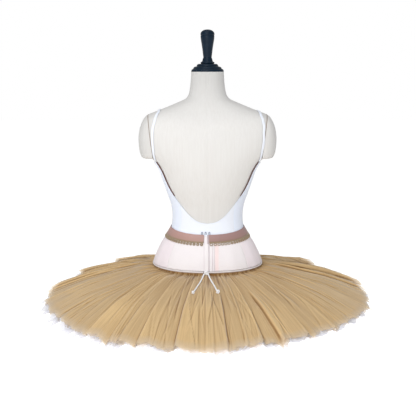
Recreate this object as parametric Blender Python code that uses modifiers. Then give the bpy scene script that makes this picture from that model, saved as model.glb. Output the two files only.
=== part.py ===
"""A ballet tutu on a tabletop dress form, in metres, with +Z up.

The origin is on the table under the middle of the form. The wearer's back faces -Y, and the
wearer's right is at +X. Heights are measured from the table. Angles go round the form from +X,
so the centre back is at -90 degrees and the centre front at 90.
"""

import bisect
import functools
import math
import random
from collections import namedtuple

import bmesh
import bpy
from mathutils import Vector

# ---------------------------------------------------------------- driving dimensions
SEAM = 0.0003                # left between pieces that are sewn together or rest on each other
CLOTH = 0.0012               # wall of a cloth panel
EASE = 0.0012                # between the form and the cloth worn on it
ROUND_STEP = 7.5             # degrees between the columns of points round the form
SEAM_TURN = 0.0015           # radians that a panel stops short of its seam

# The dress form: level sections, with the depth of each half from the side line
Level = namedtuple("Level", "height half_width front back")
FORM_LEVELS = (
    Level(0.0080, 0.1500, 0.0960, 0.1120),
    Level(0.0500, 0.1545, 0.0990, 0.1180),
    Level(0.1000, 0.1570, 0.1010, 0.1230),
    Level(0.1500, 0.1565, 0.1010, 0.1260),
    Level(0.2000, 0.1490, 0.0980, 0.1190),
    Level(0.2400, 0.1365, 0.0940, 0.1050),
    Level(0.2760, 0.1205, 0.0890, 0.0900),
    Level(0.3050, 0.1070, 0.0855, 0.0790),
    Level(0.3350, 0.1045, 0.0840, 0.0740),
    Level(0.3630, 0.1070, 0.0860, 0.0745),
    Level(0.3990, 0.1185, 0.0930, 0.0790),
    Level(0.4350, 0.1310, 0.1030, 0.0850),
    Level(0.4710, 0.1435, 0.1090, 0.0890),
    Level(0.5000, 0.1600, 0.1080, 0.0900),
    Level(0.5300, 0.1810, 0.1030, 0.0890),
    Level(0.5650, 0.1940, 0.0960, 0.0860),
    Level(0.6000, 0.1990, 0.0880, 0.0800),
    Level(0.6250, 0.1940, 0.0780, 0.0720),
    Level(0.6390, 0.1780, 0.0730, 0.0670),
    Level(0.6510, 0.1480, 0.0690, 0.0630),
    Level(0.6630, 0.1180, 0.0650, 0.0600),
    Level(0.6750, 0.0895, 0.0610, 0.0570),
    Level(0.6870, 0.0645, 0.0570, 0.0540),
    Level(0.7000, 0.0560, 0.0530, 0.0510),
    Level(0.7200, 0.0520, 0.0505, 0.0495),
    Level(0.7450, 0.0495, 0.0490, 0.0487),
    Level(0.7650, 0.0485, 0.0485, 0.0485),
)
ROUNDNESS = 2.2              # superellipse power of a level section
FORM_COLUMNS = 40
FINE_FROM, FINE_TO = 0.240, 0.530    # more sections where cloth lies on the form
BUST_HEIGHT, BUST_SIDE = 0.4650, 0.0750
BUST_RISE, BUST_SPREAD = 0.0060, 0.0600
BASE_BOARD = 0.0077          # thick

# Armhole faces: flat, and a little nearer the middle at the bottom
ARMHOLE_LOW, ARMHOLE_LOW_X = 0.5085, 0.1628
ARMHOLE_HIGH, ARMHOLE_HIGH_X = 0.6390, 0.1773
ArmLevel = namedtuple("ArmLevel", "height outer half_depth")
ARM_LEVELS = (
    ArmLevel(0.5085, 0.1900, 0.0330),
    ArmLevel(0.5110, 0.1960, 0.0370),
    ArmLevel(0.5190, 0.2010, 0.0415),
    ArmLevel(0.5430, 0.2060, 0.0455),
    ArmLevel(0.5670, 0.2070, 0.0465),
    ArmLevel(0.5910, 0.2045, 0.0445),
    ArmLevel(0.6080, 0.2000, 0.0410),
    ArmLevel(0.6220, 0.1935, 0.0340),
    ArmLevel(0.6320, 0.1870, 0.0240),
    ArmLevel(0.6370, 0.1815, 0.0120),
)
ARM_COLUMNS = 14

# Turned black wood on the neck, from the top down
Turning = namedtuple("Turning", "height radius")
HANDLE = (
    Turning(0.8892, 0.0000),
    Turning(0.8884, 0.0080),
    Turning(0.8862, 0.0135),
    Turning(0.8830, 0.0175),
    Turning(0.8794, 0.0199),
    Turning(0.8755, 0.0208),
    Turning(0.8726, 0.0199),
    Turning(0.8690, 0.0205),
    Turning(0.8611, 0.0198),
    Turning(0.8508, 0.0182),
    Turning(0.8304, 0.0151),
    Turning(0.8119, 0.0129),
    Turning(0.8076, 0.0125),
    Turning(0.8047, 0.0138),
    Turning(0.7955, 0.0164),
    Turning(0.7936, 0.0203),
    Turning(0.7912, 0.0208),
    Turning(0.7890, 0.0190),
    Turning(0.7890, 0.0000),
)
NECK_CAP = (
    Turning(0.7887, 0.0000),
    Turning(0.7887, 0.0270),
    Turning(0.7866, 0.0305),
    Turning(0.7842, 0.0320),
    Turning(0.7815, 0.0321),
    Turning(0.7803, 0.0375),
    Turning(0.7778, 0.0415),
    Turning(0.7748, 0.0420),
    Turning(0.7733, 0.0450),
    Turning(0.7700, 0.0480),
    Turning(0.7653, 0.0485),
    Turning(0.7653, 0.0000),
)
TURNED_STEPS = 24

# Heights of the garment's lines at the side, and how far each dips at the centre back
Line = namedtuple("Line", "side dip")
BAND_TOP = Line(0.3030, 0.0145)
JOIN = Line(0.2990, 0.0145)          # bodice above, basque below, both under the band
BAND_FOOT = Line(0.2770, 0.0130)
PICOT_FOOT = Line(0.2705, 0.0130)
BASQUE_HIGH = Line(0.2500, 0.0115)
BASQUE_LOW = Line(0.2200, 0.0095)
BASQUE_FOOT = Line(0.1945, 0.0052)
CASING_MIDDLE = Line(0.1918, 0.0052)
BASE_NET_TOP = Line(0.2060, 0.0080)
DIP_POWER = 1.5

# The bodice's top edge: a deep scoop at the back and a shallow one at the front
Edge = namedtuple("Edge", "degrees height")
BODICE_EDGE = (
    Edge(-90.0, 0.3205),
    Edge(-80.5, 0.3235),
    Edge(-66.0, 0.3380),
    Edge(-50.0, 0.3665),
    Edge(-38.0, 0.3940),
    Edge(-29.0, 0.4200),
    Edge(-24.0, 0.4450),
    Edge(-21.0, 0.4700),
    Edge(-18.0, 0.5000),
    Edge(-10.0, 0.4980),
    Edge(0.0, 0.4960),
    Edge(20.0, 0.5020),
    Edge(40.0, 0.5160),
    Edge(55.0, 0.5300),
    Edge(70.0, 0.5100),
    Edge(90.0, 0.4980),
)
STRAP_CORNER_DEGREES = -18.75        # an extra column of points at the back strap
FRONT_EXTRA_DEGREES = (71.25, 78.75, 86.25, 93.75, 101.25, 108.75)
BACK_ROWS, FRONT_ROWS = 5, 9         # spans between the band and the top edge
BINDING_WIDE, BINDING_NARROW = 0.0090, 0.0028       # it narrows towards the middle
BINDING_FROM, BINDING_TO = -18.4, -36.0

# Straps, from the back corner over the shoulder to the front corner
StrapPlace = namedtuple("StrapPlace", "degrees height")
STRAP_ROUTES = {
    -1: (
        StrapPlace(-19.5, 0.5030),
        StrapPlace(-31.0, 0.5350),
        StrapPlace(-35.0, 0.5650),
        StrapPlace(-37.3, 0.5930),
        StrapPlace(-39.0, 0.6220),
        StrapPlace(-35.5, 0.6370),
        StrapPlace(-24.0, 0.6480),
        StrapPlace(0.0, 0.6530),
        StrapPlace(18.0, 0.6490),
        StrapPlace(33.0, 0.6400),
        StrapPlace(44.0, 0.6190),
        StrapPlace(50.0, 0.5900),
        StrapPlace(53.0, 0.5600),
        StrapPlace(55.0, 0.5320),
    ),
    1: (
        StrapPlace(-19.5, 0.5030),
        StrapPlace(-30.0, 0.5350),
        StrapPlace(-33.0, 0.5650),
        StrapPlace(-35.0, 0.5930),
        StrapPlace(-35.0, 0.6220),
        StrapPlace(-31.0, 0.6370),
        StrapPlace(-18.0, 0.6460),
        StrapPlace(0.0, 0.6500),
        StrapPlace(18.0, 0.6460),
        StrapPlace(33.0, 0.6370),
        StrapPlace(44.0, 0.6180),
        StrapPlace(50.0, 0.5900),
        StrapPlace(53.0, 0.5600),
        StrapPlace(55.0, 0.5320),
    ),
}
STRAP_WIDTH, STRAP_WALL = 0.0078, 0.0016
STRAP_SAMPLES = 30

# Waistband and basque opening at the centre back, measured across from the middle
BAND_GAP_LEFT, BAND_GAP_RIGHT = -0.0098, 0.0042
BAND_WALL, PICOT_WALL, BINDING_WALL = 0.0015, 0.0010, 0.0010
BAND_END_WIDTH = 0.0042
SLIT = 0.0042
PLACKET_TO = 0.0180
FLARE = 0.0123               # how much further the basque's foot stands off the form

# Hooks on the bodice's lower edge
HOOK_PLACES = (-0.0160, -0.0055, 0.0055)
HOOK_WIDTH, HOOK_HEIGHT, HOOK_WIRE = 0.0050, 0.0084, 0.0011

# Cord casing and drawstring
CASING_DIAMETER = 0.0048
CASING_POINTS = 36
CASING_GAP_LEFT, CASING_GAP_RIGHT = -0.0112, 0.0032
CORD_DIAMETER = 0.0036
CORD_SAMPLES = 13
RoutePoint = namedtuple("RoutePoint", "x y z")
CORD_LEFT = (
    RoutePoint(-0.0106, -0.1444, 0.1824),
    RoutePoint(-0.0150, -0.1600, 0.1745),
    RoutePoint(-0.0212, -0.1870, 0.1682),
    RoutePoint(-0.0292, -0.2190, 0.1630),
    RoutePoint(-0.0384, -0.2580, 0.1574),
)
CORD_RIGHT = (
    RoutePoint(0.0026, -0.1444, 0.1824),
    RoutePoint(0.0062, -0.1600, 0.1762),
    RoutePoint(0.0124, -0.1880, 0.1707),
    RoutePoint(0.0196, -0.2190, 0.1655),
    RoutePoint(0.0264, -0.2550, 0.1598),
)
KnotShape = namedtuple("KnotShape", "centre half_sizes")
TIE = KnotShape(Vector((-0.0040, -0.1396, 0.1853)), Vector((0.0076, 0.0038, 0.0060)))
END_KNOT_LEFT = KnotShape(Vector((-0.0404, -0.2638, 0.1575)), Vector((0.0047, 0.0062, 0.0045)))
END_KNOT_RIGHT = KnotShape(Vector((0.0284, -0.2616, 0.1593)), Vector((0.0058, 0.0068, 0.0054)))

# Net base under the basque, which the layers of tulle are gathered onto
BASE_NET_WALL = 0.0012
BASE_NET_FOOT, BASE_NET_LOW, BASE_NET_HIGH = 0.1230, 0.1500, 0.1780
ROOT_GAP = 0.0005             # from the net to each layer's gathered root
BASE_NET_OFF = EASE + FLARE * 0.87 - BASE_NET_WALL - 3 * SEAM

# Tulle layers. Each row of a gather table is one ring of points, from the root to the rim. At the
# centre back the skirt falls straight from the basque, so each ring keeps only a share of its puff
SKIRT_RIM_X, SKIRT_RIM_Y = 0.4920, 0.4720
SKIRT_FOLDS = 28
FOLD_SEED = 11
FOLD_WANDER = 1.3            # degrees that a fold strays
RIM_NOTCH = 0.0150           # how far a tip stops short of the longest
TROUGH_NOTCH = 0.0060        # how much shorter the rim is between two tips
ROOT_HEIGHT = Line(0.1800, 0.0080)
ROOT_STEP = 0.0090           # from one layer's root down to the next
RIM_HEIGHT = 0.1000
TILT_BACK, TILT_FRONT = 0.0240, 0.0310       # how far the rim drops at the back and rises in front
RIM_STEP = 0.0045
TULLE_WALL = 0.0010
BACK_DEGREES = 270.0
BACK_SPREAD = 20.0           # degrees to each side that the centre back's straight fall reaches
PUFF_AT_SIDE, PUFF_TILT = 0.440, -0.310
Gather = namedtuple("Gather", "reach puff fold back_share")
TOP_GATHERS = (
    Gather(0.00, 0.0000, 0.0008, 1.00),
    Gather(0.05, 0.0060, 0.0014, 1.00),
    Gather(0.16, 0.0240, 0.0030, 0.56),
    Gather(0.35, 0.0262, 0.0042, 0.97),
    Gather(0.58, 0.0260, 0.0055, 1.00),
    Gather(1.00, -0.0140, 0.0075, 1.00),
)
LOWER_GATHERS = (
    Gather(0.00, 0.0000, 0.0008, 1.00),
    Gather(0.16, 0.0240, 0.0030, 0.56),
    Gather(0.58, 0.0260, 0.0055, 1.00),
    Gather(1.00, -0.0140, 0.0075, 1.00),
)
# Layers from the top down, with their shares of the gather table's puff and fold: the lowest
# hangs nearly straight
Layer = namedtuple("Layer", "name gathers puff fold")
LAYERS = (
    Layer("tulle_gold_top", TOP_GATHERS, 1.00, 1.00),
    Layer("tulle_gold_upper", LOWER_GATHERS, 0.86, 0.92),
    Layer("tulle_white_upper", LOWER_GATHERS, 0.70, 0.84),
    Layer("tulle_gold_lower", LOWER_GATHERS, 0.52, 0.76),
    Layer("tulle_white_lower", LOWER_GATHERS, 0.32, 0.68),
)

Finish = namedtuple("Finish", "red green blue roughness metallic")
LINEN = Finish(0.80, 0.78, 0.75, 0.85, 0.0)
BLACK_WOOD = Finish(0.015, 0.020, 0.035, 0.25, 0.0)
BOARD = Finish(0.45, 0.34, 0.22, 0.70, 0.0)
WHITE_JERSEY = Finish(0.82, 0.86, 0.95, 0.60, 0.0)
BROWN_ELASTIC = Finish(0.16, 0.07, 0.06, 0.70, 0.0)
ROSE_SATIN = Finish(0.42, 0.24, 0.21, 0.40, 0.0)
OLIVE_PICOT = Finish(0.30, 0.23, 0.15, 0.60, 0.0)
GREY_BINDING = Finish(0.40, 0.36, 0.42, 0.60, 0.0)
PALE_PINK = Finish(0.87, 0.79, 0.81, 0.70, 0.0)
STEEL = Finish(0.40, 0.48, 0.60, 0.35, 1.0)
WHITE_CORD = Finish(0.85, 0.86, 0.88, 0.75, 0.0)
GOLD_TULLE = Finish(0.55, 0.38, 0.20, 0.80, 0.0)
WHITE_TULLE = Finish(0.80, 0.84, 0.92, 0.80, 0.0)

for leftover in list(bpy.data.objects):
    bpy.data.objects.remove(leftover, do_unlink=True)
tutu = bpy.data.collections.new("ballet_tutu")
bpy.context.scene.collection.children.link(tutu)
cutters = bpy.data.collections.new("cutters")
bpy.context.scene.collection.children.link(cutters)


# ---------------------------------------------------------------- objects
def add_object(name, data, finish):
    """Link a mesh or curve as a named object with a material of its own."""
    material = bpy.data.materials.new(name)
    material.use_nodes = True
    shader = material.node_tree.nodes["Principled BSDF"]
    shader.inputs["Base Color"].default_value = (finish.red, finish.green, finish.blue, 1.0)
    shader.inputs["Roughness"].default_value = finish.roughness
    shader.inputs["Metallic"].default_value = finish.metallic
    data.materials.append(material)
    thing = bpy.data.objects.new(name, data)
    tutu.objects.link(thing)
    return thing


def cloth(name, columns, finish, wall=CLOTH, closed=False):
    """Sew a panel: columns of points from its lower edge to its upper one, thickened outwards."""
    bm = bmesh.new()
    grid = [[bm.verts.new(point) for point in column] for column in columns]
    pairs = list(zip(grid, grid[1:]))
    if closed:
        pairs.append((grid[-1], grid[0]))
    for here, there in pairs:
        for low in range(len(here) - 1):
            bm.faces.new((here[low], there[low], there[low + 1], here[low + 1]))
    mesh = bpy.data.meshes.new(name)
    bm.to_mesh(mesh)
    bm.free()
    panel = add_object(name, mesh, finish)
    shell = panel.modifiers.new("wall", "SOLIDIFY")
    shell.thickness = wall
    shell.offset = 1.0
    return panel


def loft(name, rings, finish):
    """Close a body through rings of points and cap both ends."""
    bm = bmesh.new()
    loops = [[bm.verts.new(point) for point in ring] for ring in rings]
    for lower, upper in zip(loops, loops[1:]):
        for k in range(len(lower)):
            after = (k + 1) % len(lower)
            bm.faces.new((lower[k], lower[after], upper[after], upper[k]))
    bm.faces.new(tuple(reversed(loops[0])))
    bm.faces.new(tuple(loops[-1]))
    bmesh.ops.recalc_face_normals(bm, faces=bm.faces)
    mesh = bpy.data.meshes.new(name)
    bm.to_mesh(mesh)
    bm.free()
    mesh.shade_smooth()
    mesh.set_sharp_from_angle(angle=math.radians(40))
    return add_object(name, mesh, finish)


def turned(name, profile, finish):
    """Turn a profile about the form's upright axis."""
    mesh = bpy.data.meshes.new(name)
    points = [(turning.radius, 0.0, turning.height) for turning in profile]
    mesh.from_pydata(points, [(k, k + 1) for k in range(len(points) - 1)], [])
    piece = add_object(name, mesh, finish)
    screw = piece.modifiers.new("turn", "SCREW")
    screw.steps = TURNED_STEPS
    screw.render_steps = TURNED_STEPS
    screw.use_merge_vertices = True
    screw.merge_threshold = 0.0001
    screw.use_smooth_shade = True
    return piece


def wire(name, points, diameter, finish, resolution=2):
    """Lay a round wire or cord along points."""
    curve = bpy.data.curves.new(name, "CURVE")
    curve.dimensions = "3D"
    curve.bevel_depth = diameter / 2
    curve.bevel_resolution = resolution
    curve.use_fill_caps = True
    spline = curve.splines.new("POLY")
    spline.points.add(len(points) - 1)
    for target, point in zip(spline.points, points):
        target.co = (*point, 1.0)
    return add_object(name, curve, finish)


def knot(name, shape):
    """Draw up a knot of cord: a ball with three unlike sizes."""
    bm = bmesh.new()
    bmesh.ops.create_uvsphere(bm, u_segments=10, v_segments=6, radius=1.0)
    for vert in bm.verts:
        vert.co = Vector([vert.co[k] * shape.half_sizes[k] for k in range(3)])
    mesh = bpy.data.meshes.new(name)
    bm.to_mesh(mesh)
    bm.free()
    mesh.shade_smooth()
    ball = add_object(name, mesh, WHITE_CORD)
    ball.location = shape.centre
    return ball


# ---------------------------------------------------------------- curves and surfaces
def read_curve(places, values, place):
    """Read a smooth curve through rows of values that never overshoots them."""
    place = min(max(place, places[0]), places[-1])
    k = min(bisect.bisect_right(places, place) - 1, len(places) - 2)
    slopes = [(values[n + 1] - values[n]) / (places[n + 1] - places[n]) for n in range(len(places) - 1)]

    def tangent(n):
        if n == 0 or n == len(places) - 1:
            return slopes[min(n, len(slopes) - 1)]
        before, after = slopes[n - 1], slopes[n]
        return 0.0 if before * after <= 0 else 2 * before * after / (before + after)

    span = places[k + 1] - places[k]
    t = (place - places[k]) / span
    rise = values[k + 1] - values[k]
    bend_in, bend_out = tangent(k) * span, tangent(k + 1) * span
    return (values[k] + bend_in * t + (3 * rise - 2 * bend_in - bend_out) * t ** 2
            + (bend_in + bend_out - 2 * rise) * t ** 3)


def read_route(route, samples):
    """Read evenly numbered points from a smooth curve through a route's points."""
    steps = list(range(len(route)))
    columns = list(zip(*route))
    last = len(route) - 1
    return [tuple(read_curve(steps, column, last * n / (samples - 1)) for column in columns)
            for n in range(samples)]


@functools.lru_cache(maxsize=None)
def form_level(height):
    """Find the form's level section at a height."""
    heights = [level.height for level in FORM_LEVELS]
    sizes = [read_curve(heights, [getattr(level, column) for level in FORM_LEVELS], height)
             for column in ("half_width", "front", "back")]
    return Level(height, *sizes)


def form_point(height, angle, outward=0.0):
    """Find a point on the form, or outward from it."""
    level = form_level(height)
    cosine, sine = math.cos(angle), math.sin(angle)
    depth = level.front if sine > 0 else level.back
    x = (level.half_width + outward) * math.copysign(abs(cosine) ** (2 / ROUNDNESS), cosine)
    y = (depth + outward) * math.copysign(abs(sine) ** (2 / ROUNDNESS), sine)
    if sine > 0:
        off_side = (abs(x) - BUST_SIDE) / BUST_SPREAD
        off_height = (height - BUST_HEIGHT) / BUST_SPREAD
        y += BUST_RISE * sine * math.exp(-off_side ** 2 - off_height ** 2)
    return Vector((x, y, height))


def form_normal(height, angle):
    """Find the direction square to the form's surface."""
    step = 0.0005
    upward = form_point(height + step, angle) - form_point(height - step, angle)
    along = form_point(height, angle + step) - form_point(height, angle - step)
    return along.cross(upward).normalized()


def line_height(line, angle):
    """Find the height of one of the garment's lines at an angle."""
    return line.side - line.dip * max(0.0, -math.sin(angle)) ** DIP_POWER


def columns_between(first, last, extra=()):
    """List the angles of a panel's columns, from seam to seam, in degrees."""
    turn = math.degrees(SEAM_TURN)
    inner = [k * ROUND_STEP for k in range(-60, 61)]
    inner = [degrees for degrees in sorted(inner + list(extra)) if first + 1 < degrees < last - 1]
    return [math.radians(degrees) for degrees in [first + turn] + inner + [last - turn]]


def back_angle(across, line):
    """Find the angle at the back of a point that lies across from the middle on a line."""
    half_width = form_level(line.side - line.dip).half_width
    cosine = math.copysign((abs(across) / half_width) ** (ROUNDNESS / 2), across)
    return -math.acos(cosine)


def basque_outward(height, angle):
    """Say how far the basque's inner side stands off the form."""
    join, foot = line_height(JOIN, angle), line_height(BASQUE_FOOT, angle)
    share = min(1.0, max(0.0, (join - height) / (join - foot)))
    return EASE + FLARE * share


def ribbon(name, path, near, far, finish, wall, lift):
    """Lay a strip along (height, angle) places, from near to each place's far edge on the left."""
    normals = [form_normal(height, angle) for height, angle in path]
    points = [form_point(height, angle) + normal * lift for (height, angle), normal in zip(path, normals)]
    strip = []
    for k, (point, normal) in enumerate(zip(points, normals)):
        along = points[min(k + 1, len(points) - 1)] - points[max(k - 1, 0)]
        side = normal.cross(along).normalized()
        strip.append([point + side * near, point + side * far[k]])
    return cloth(name, strip, finish, wall)


# ---------------------------------------------------------------- dress form
def add_cutter(side):
    """Make a slanted block whose inner face is an armhole's flat face."""
    bm = bmesh.new()
    bmesh.ops.create_cube(bm, size=1.0)
    low, high, far = ARMHOLE_LOW - 0.12, ARMHOLE_HIGH + 0.06, 0.30
    slope = (ARMHOLE_HIGH_X - ARMHOLE_LOW_X) / (ARMHOLE_HIGH - ARMHOLE_LOW)
    for vert in bm.verts:
        height = high if vert.co.z > 0 else low
        inner = ARMHOLE_LOW_X + slope * (height - ARMHOLE_LOW)
        vert.co = Vector((side * (far if vert.co.x > 0 else inner), vert.co.y * 0.5, height))
    if side < 0:
        bmesh.ops.reverse_faces(bm, faces=bm.faces)
    mesh = bpy.data.meshes.new("armhole_cutter")
    bm.to_mesh(mesh)
    bm.free()
    cutter = bpy.data.objects.new("armhole_cutter", mesh)
    cutters.objects.link(cutter)
    cutter.hide_render = True
    cutter.display_type = "WIRE"
    return cutter


def form_heights():
    """List the torso's levels, with one more in each span that cloth lies on."""
    heights = []
    for level, above in zip(FORM_LEVELS, FORM_LEVELS[1:]):
        heights.append(level.height)
        if FINE_FROM <= level.height < FINE_TO:
            heights.append((level.height + above.height) / 2)
    return heights + [FORM_LEVELS[-1].height]


def add_torso():
    """Pad the torso and neck in one body, and cut its armholes flat."""
    angles = [2 * math.pi * k / FORM_COLUMNS for k in range(FORM_COLUMNS)]
    rings = [[form_point(height, angle) for angle in angles] for height in form_heights()]
    torso = loft("form_torso", rings, LINEN)
    for side in (-1, 1):
        cut = torso.modifiers.new("armhole", "BOOLEAN")
        cut.operation = "DIFFERENCE"
        cut.object = add_cutter(side)
    return torso


def add_arm(name, side):
    """Pad the short cap that closes an armhole."""
    slope = (ARMHOLE_HIGH_X - ARMHOLE_LOW_X) / (ARMHOLE_HIGH - ARMHOLE_LOW)
    rings = []
    for level in ARM_LEVELS:
        inner = ARMHOLE_LOW_X + slope * (level.height - ARMHOLE_LOW) + SEAM
        ring = []
        for k in range(ARM_COLUMNS):
            turn = math.pi * (k / (ARM_COLUMNS - 1) - 0.5)
            reach = (level.outer - inner) * math.cos(turn) ** (2 / ROUNDNESS)
            across = math.copysign(abs(math.sin(turn)) ** (2 / ROUNDNESS), math.sin(turn))
            ring.append(Vector((side * (inner + reach), level.half_depth * across, level.height)))
        rings.append(ring)
    return loft(name, rings, LINEN)


def add_base_board():
    """Close the form with the flat board that it stands on."""
    angles = [2 * math.pi * k / FORM_COLUMNS for k in range(FORM_COLUMNS)]
    lowest = FORM_LEVELS[0].height
    rings = []
    for height in (0.0, BASE_BOARD):
        ring = [form_point(lowest, angle, -EASE) for angle in angles]
        rings.append([Vector((point.x, point.y, height)) for point in ring])
    return loft("form_base_board", rings, BOARD)


# ---------------------------------------------------------------- bodice
def bodice_top(degrees):
    """Find the height of the bodice's top edge, which is alike on both sides."""
    if degrees > 90:
        degrees = 180 - degrees
    elif degrees < -90:
        degrees = -180 - degrees
    return read_curve([edge.degrees for edge in BODICE_EDGE], [edge.height for edge in BODICE_EDGE], degrees)


def bodice_panel(name, first, last, rows, extra=()):
    """Cut a bodice panel between two seams, from under the band to the top edge."""
    columns = []
    for angle in columns_between(first, last, extra):
        top = bodice_top(math.degrees(angle))
        foot, band = line_height(JOIN, angle) + SEAM / 2, line_height(BAND_TOP, angle)
        heights = [foot] + [band + (top - band) * k / rows for k in range(rows + 1)]
        columns.append([form_point(height, angle, EASE) for height in heights])
    return cloth(name, columns, WHITE_JERSEY)


def mirrored(degrees, side):
    """Give the same place on the wearer's right (1) or left (-1)."""
    return degrees if side > 0 else -180.0 - degrees


def add_neck_binding(name, side):
    """Fold the elastic that edges the back scoop, inside the panel's edge."""
    count = 12
    path, widths = [], []
    for k in range(count):
        share = k / (count - 1)
        degrees = BINDING_TO + (BINDING_FROM - BINDING_TO) * share
        path.append((bodice_top(degrees), math.radians(mirrored(degrees, side))))
        widths.append(BINDING_NARROW + (BINDING_WIDE - BINDING_NARROW) * share)
    if side < 0:
        path.reverse()
        widths.reverse()
    near = SEAM * 4
    return ribbon(name, path, near, [near + width for width in widths], BROWN_ELASTIC, BINDING_WALL, EASE)


def add_strap(name, side):
    """Run a narrow strap from the back corner over the shoulder to the front corner."""
    route = read_route(STRAP_ROUTES[side], STRAP_SAMPLES)
    path = [(height, math.radians(mirrored(degrees, side))) for degrees, height in route]
    far = [STRAP_WIDTH / 2] * len(path)
    return ribbon(name, path, -STRAP_WIDTH / 2, far, WHITE_JERSEY, STRAP_WALL, EASE)


# ---------------------------------------------------------------- waist
def wrap(name, first, last, lines, finish, wall, shift=0.0):
    """Wrap a strip round the basque between two angles, on the given lines."""
    ends = (math.degrees(first), math.degrees(last))
    columns = []
    for angle in columns_between(*ends):
        heights = [line_height(line, angle) for line in lines]
        heights[-1] -= shift
        columns.append([form_point(height, angle, basque_outward(height, angle) + CLOTH + SEAM)
                        for height in heights])
    return cloth(name, columns, finish, wall)


def add_waistband():
    """Wrap the satin elastic, its looped edge and the binding of its right end."""
    start = back_angle(BAND_GAP_RIGHT, BAND_TOP)
    finish_at = back_angle(BAND_GAP_LEFT, BAND_TOP) + 2 * math.pi
    satin = (BAND_FOOT, JOIN, BAND_TOP)
    wrap("waistband_satin", start, finish_at, satin, ROSE_SATIN, BAND_WALL)
    wrap("waistband_picots", start, finish_at, (PICOT_FOOT, BAND_FOOT), OLIVE_PICOT, PICOT_WALL, SEAM)
    edge_from = back_angle(BAND_GAP_RIGHT - BAND_END_WIDTH, BAND_TOP)
    wrap("waistband_end_binding", edge_from, start, satin, GREY_BINDING, BAND_WALL)


def add_hooks():
    """Bend three steel eyes that stand on the band's top edge at the centre back."""
    for number, across in enumerate(HOOK_PLACES, 1):
        angle = back_angle(across, BAND_TOP)
        foot = line_height(BAND_TOP, angle) + SEAM + HOOK_WIRE / 2
        behind = form_point(foot, angle, EASE + CLOTH + SEAM + HOOK_WIRE / 2)
        above = form_point(foot + HOOK_HEIGHT, angle, EASE + CLOTH + SEAM + HOOK_WIRE / 2)
        half, bend = HOOK_WIDTH / 2 - HOOK_WIRE / 2, HOOK_WIDTH / 2 - HOOK_WIRE / 2
        straight = (HOOK_HEIGHT - HOOK_WIRE - bend) / HOOK_HEIGHT
        route = [behind + Vector((-half, 0, 0)), behind.lerp(above, straight) + Vector((-half, 0, 0))]
        for k in range(1, 4):
            turn = math.pi * (1 - k / 4)
            rise = behind.lerp(above, straight + bend * math.sin(turn) / HOOK_HEIGHT)
            route.append(rise + Vector((half * math.cos(turn), 0, 0)))
        route += [behind.lerp(above, straight) + Vector((half, 0, 0)), behind + Vector((half, 0, 0))]
        wire(f"waist_hook_{number}", route, HOOK_WIRE, STEEL, 1)


# ---------------------------------------------------------------- basque
def basque_panel(name, first, last):
    """Cut a flared hip panel between two seams."""
    lines = (BASQUE_FOOT, BASQUE_LOW, BASQUE_HIGH, PICOT_FOOT, BAND_FOOT, JOIN)
    columns = []
    for angle in columns_between(first, last):
        heights = [line_height(line, angle) for line in lines]
        heights[-1] -= SEAM / 2
        columns.append([form_point(height, angle, basque_outward(height, angle)) for height in heights])
    return cloth(name, columns, PALE_PINK)


def add_basque():
    """Sew five panels, the placket strip over the slit and the cord casing at the foot."""
    slit = math.degrees(back_angle(SLIT, BASQUE_HIGH))
    basque_panel("basque_back_right", slit, -45.0)
    basque_panel("basque_side_right", -45.0, 45.0)
    basque_panel("basque_front", 45.0, 135.0)
    basque_panel("basque_side_left", 135.0, 225.0)
    basque_panel("basque_back_left", 225.0, 360.0 + slit)
    strip_lines = (BASQUE_FOOT, BASQUE_LOW, BASQUE_HIGH, PICOT_FOOT)
    strip_to = back_angle(PLACKET_TO, BASQUE_HIGH)
    wrap("basque_placket", math.radians(slit), strip_to, strip_lines, PALE_PINK, CLOTH, 2 * SEAM)
    start = back_angle(CASING_GAP_RIGHT, BASQUE_FOOT)
    turn = back_angle(CASING_GAP_LEFT, BASQUE_FOOT) + 2 * math.pi - start
    points = []
    for k in range(CASING_POINTS):
        angle = start + turn * k / (CASING_POINTS - 1)
        points.append(form_point(line_height(CASING_MIDDLE, angle), angle, EASE + FLARE + CLOTH / 2))
    wire("cord_casing", points, CASING_DIAMETER, PALE_PINK, 1)


# ---------------------------------------------------------------- drawstring
def add_drawstring():
    """Tie the drawstring at the centre back, with two free ends that lie on the tulle."""
    knot("drawstring_tie", TIE)
    for name, route, shape in (("left", CORD_LEFT, END_KNOT_LEFT), ("right", CORD_RIGHT, END_KNOT_RIGHT)):
        wire(f"drawstring_{name}", read_route(route, CORD_SAMPLES), CORD_DIAMETER, WHITE_CORD)
        knot(f"drawstring_{name}_knot", shape)


# ---------------------------------------------------------------- skirt
def add_net_base():
    """Hang the close net tube that carries the layers."""
    columns = []
    for k in range(int(360 / ROUND_STEP)):
        angle = math.radians(k * ROUND_STEP)
        top = line_height(BASE_NET_TOP, angle)
        heights = (BASE_NET_FOOT, BASE_NET_LOW, BASE_NET_HIGH, top)
        columns.append([form_point(height, angle, BASE_NET_OFF) for height in heights])
    return cloth("net_base", columns, PALE_PINK, BASE_NET_WALL, closed=True)


def fold_columns():
    """Place the ridges and troughs: angle, notch and depth of each, the same on both half turns."""
    draw = random.Random(FOLD_SEED)
    half = []
    for k in range(SKIRT_FOLDS):
        axis = k % (SKIRT_FOLDS // 2) == 0
        stray = 0.0 if axis else draw.uniform(-FOLD_WANDER, FOLD_WANDER)
        notch = 0.0 if axis else draw.uniform(0.0, RIM_NOTCH) + TROUGH_NOTCH * (k % 2)
        depth = draw.uniform(0.6, 1.0) * (1 if k % 2 == 0 else -1)
        half.append((180.0 * k / SKIRT_FOLDS + stray, notch, depth))
    return half + [(degrees + 180.0, notch, depth) for degrees, notch, depth in half]


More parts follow.
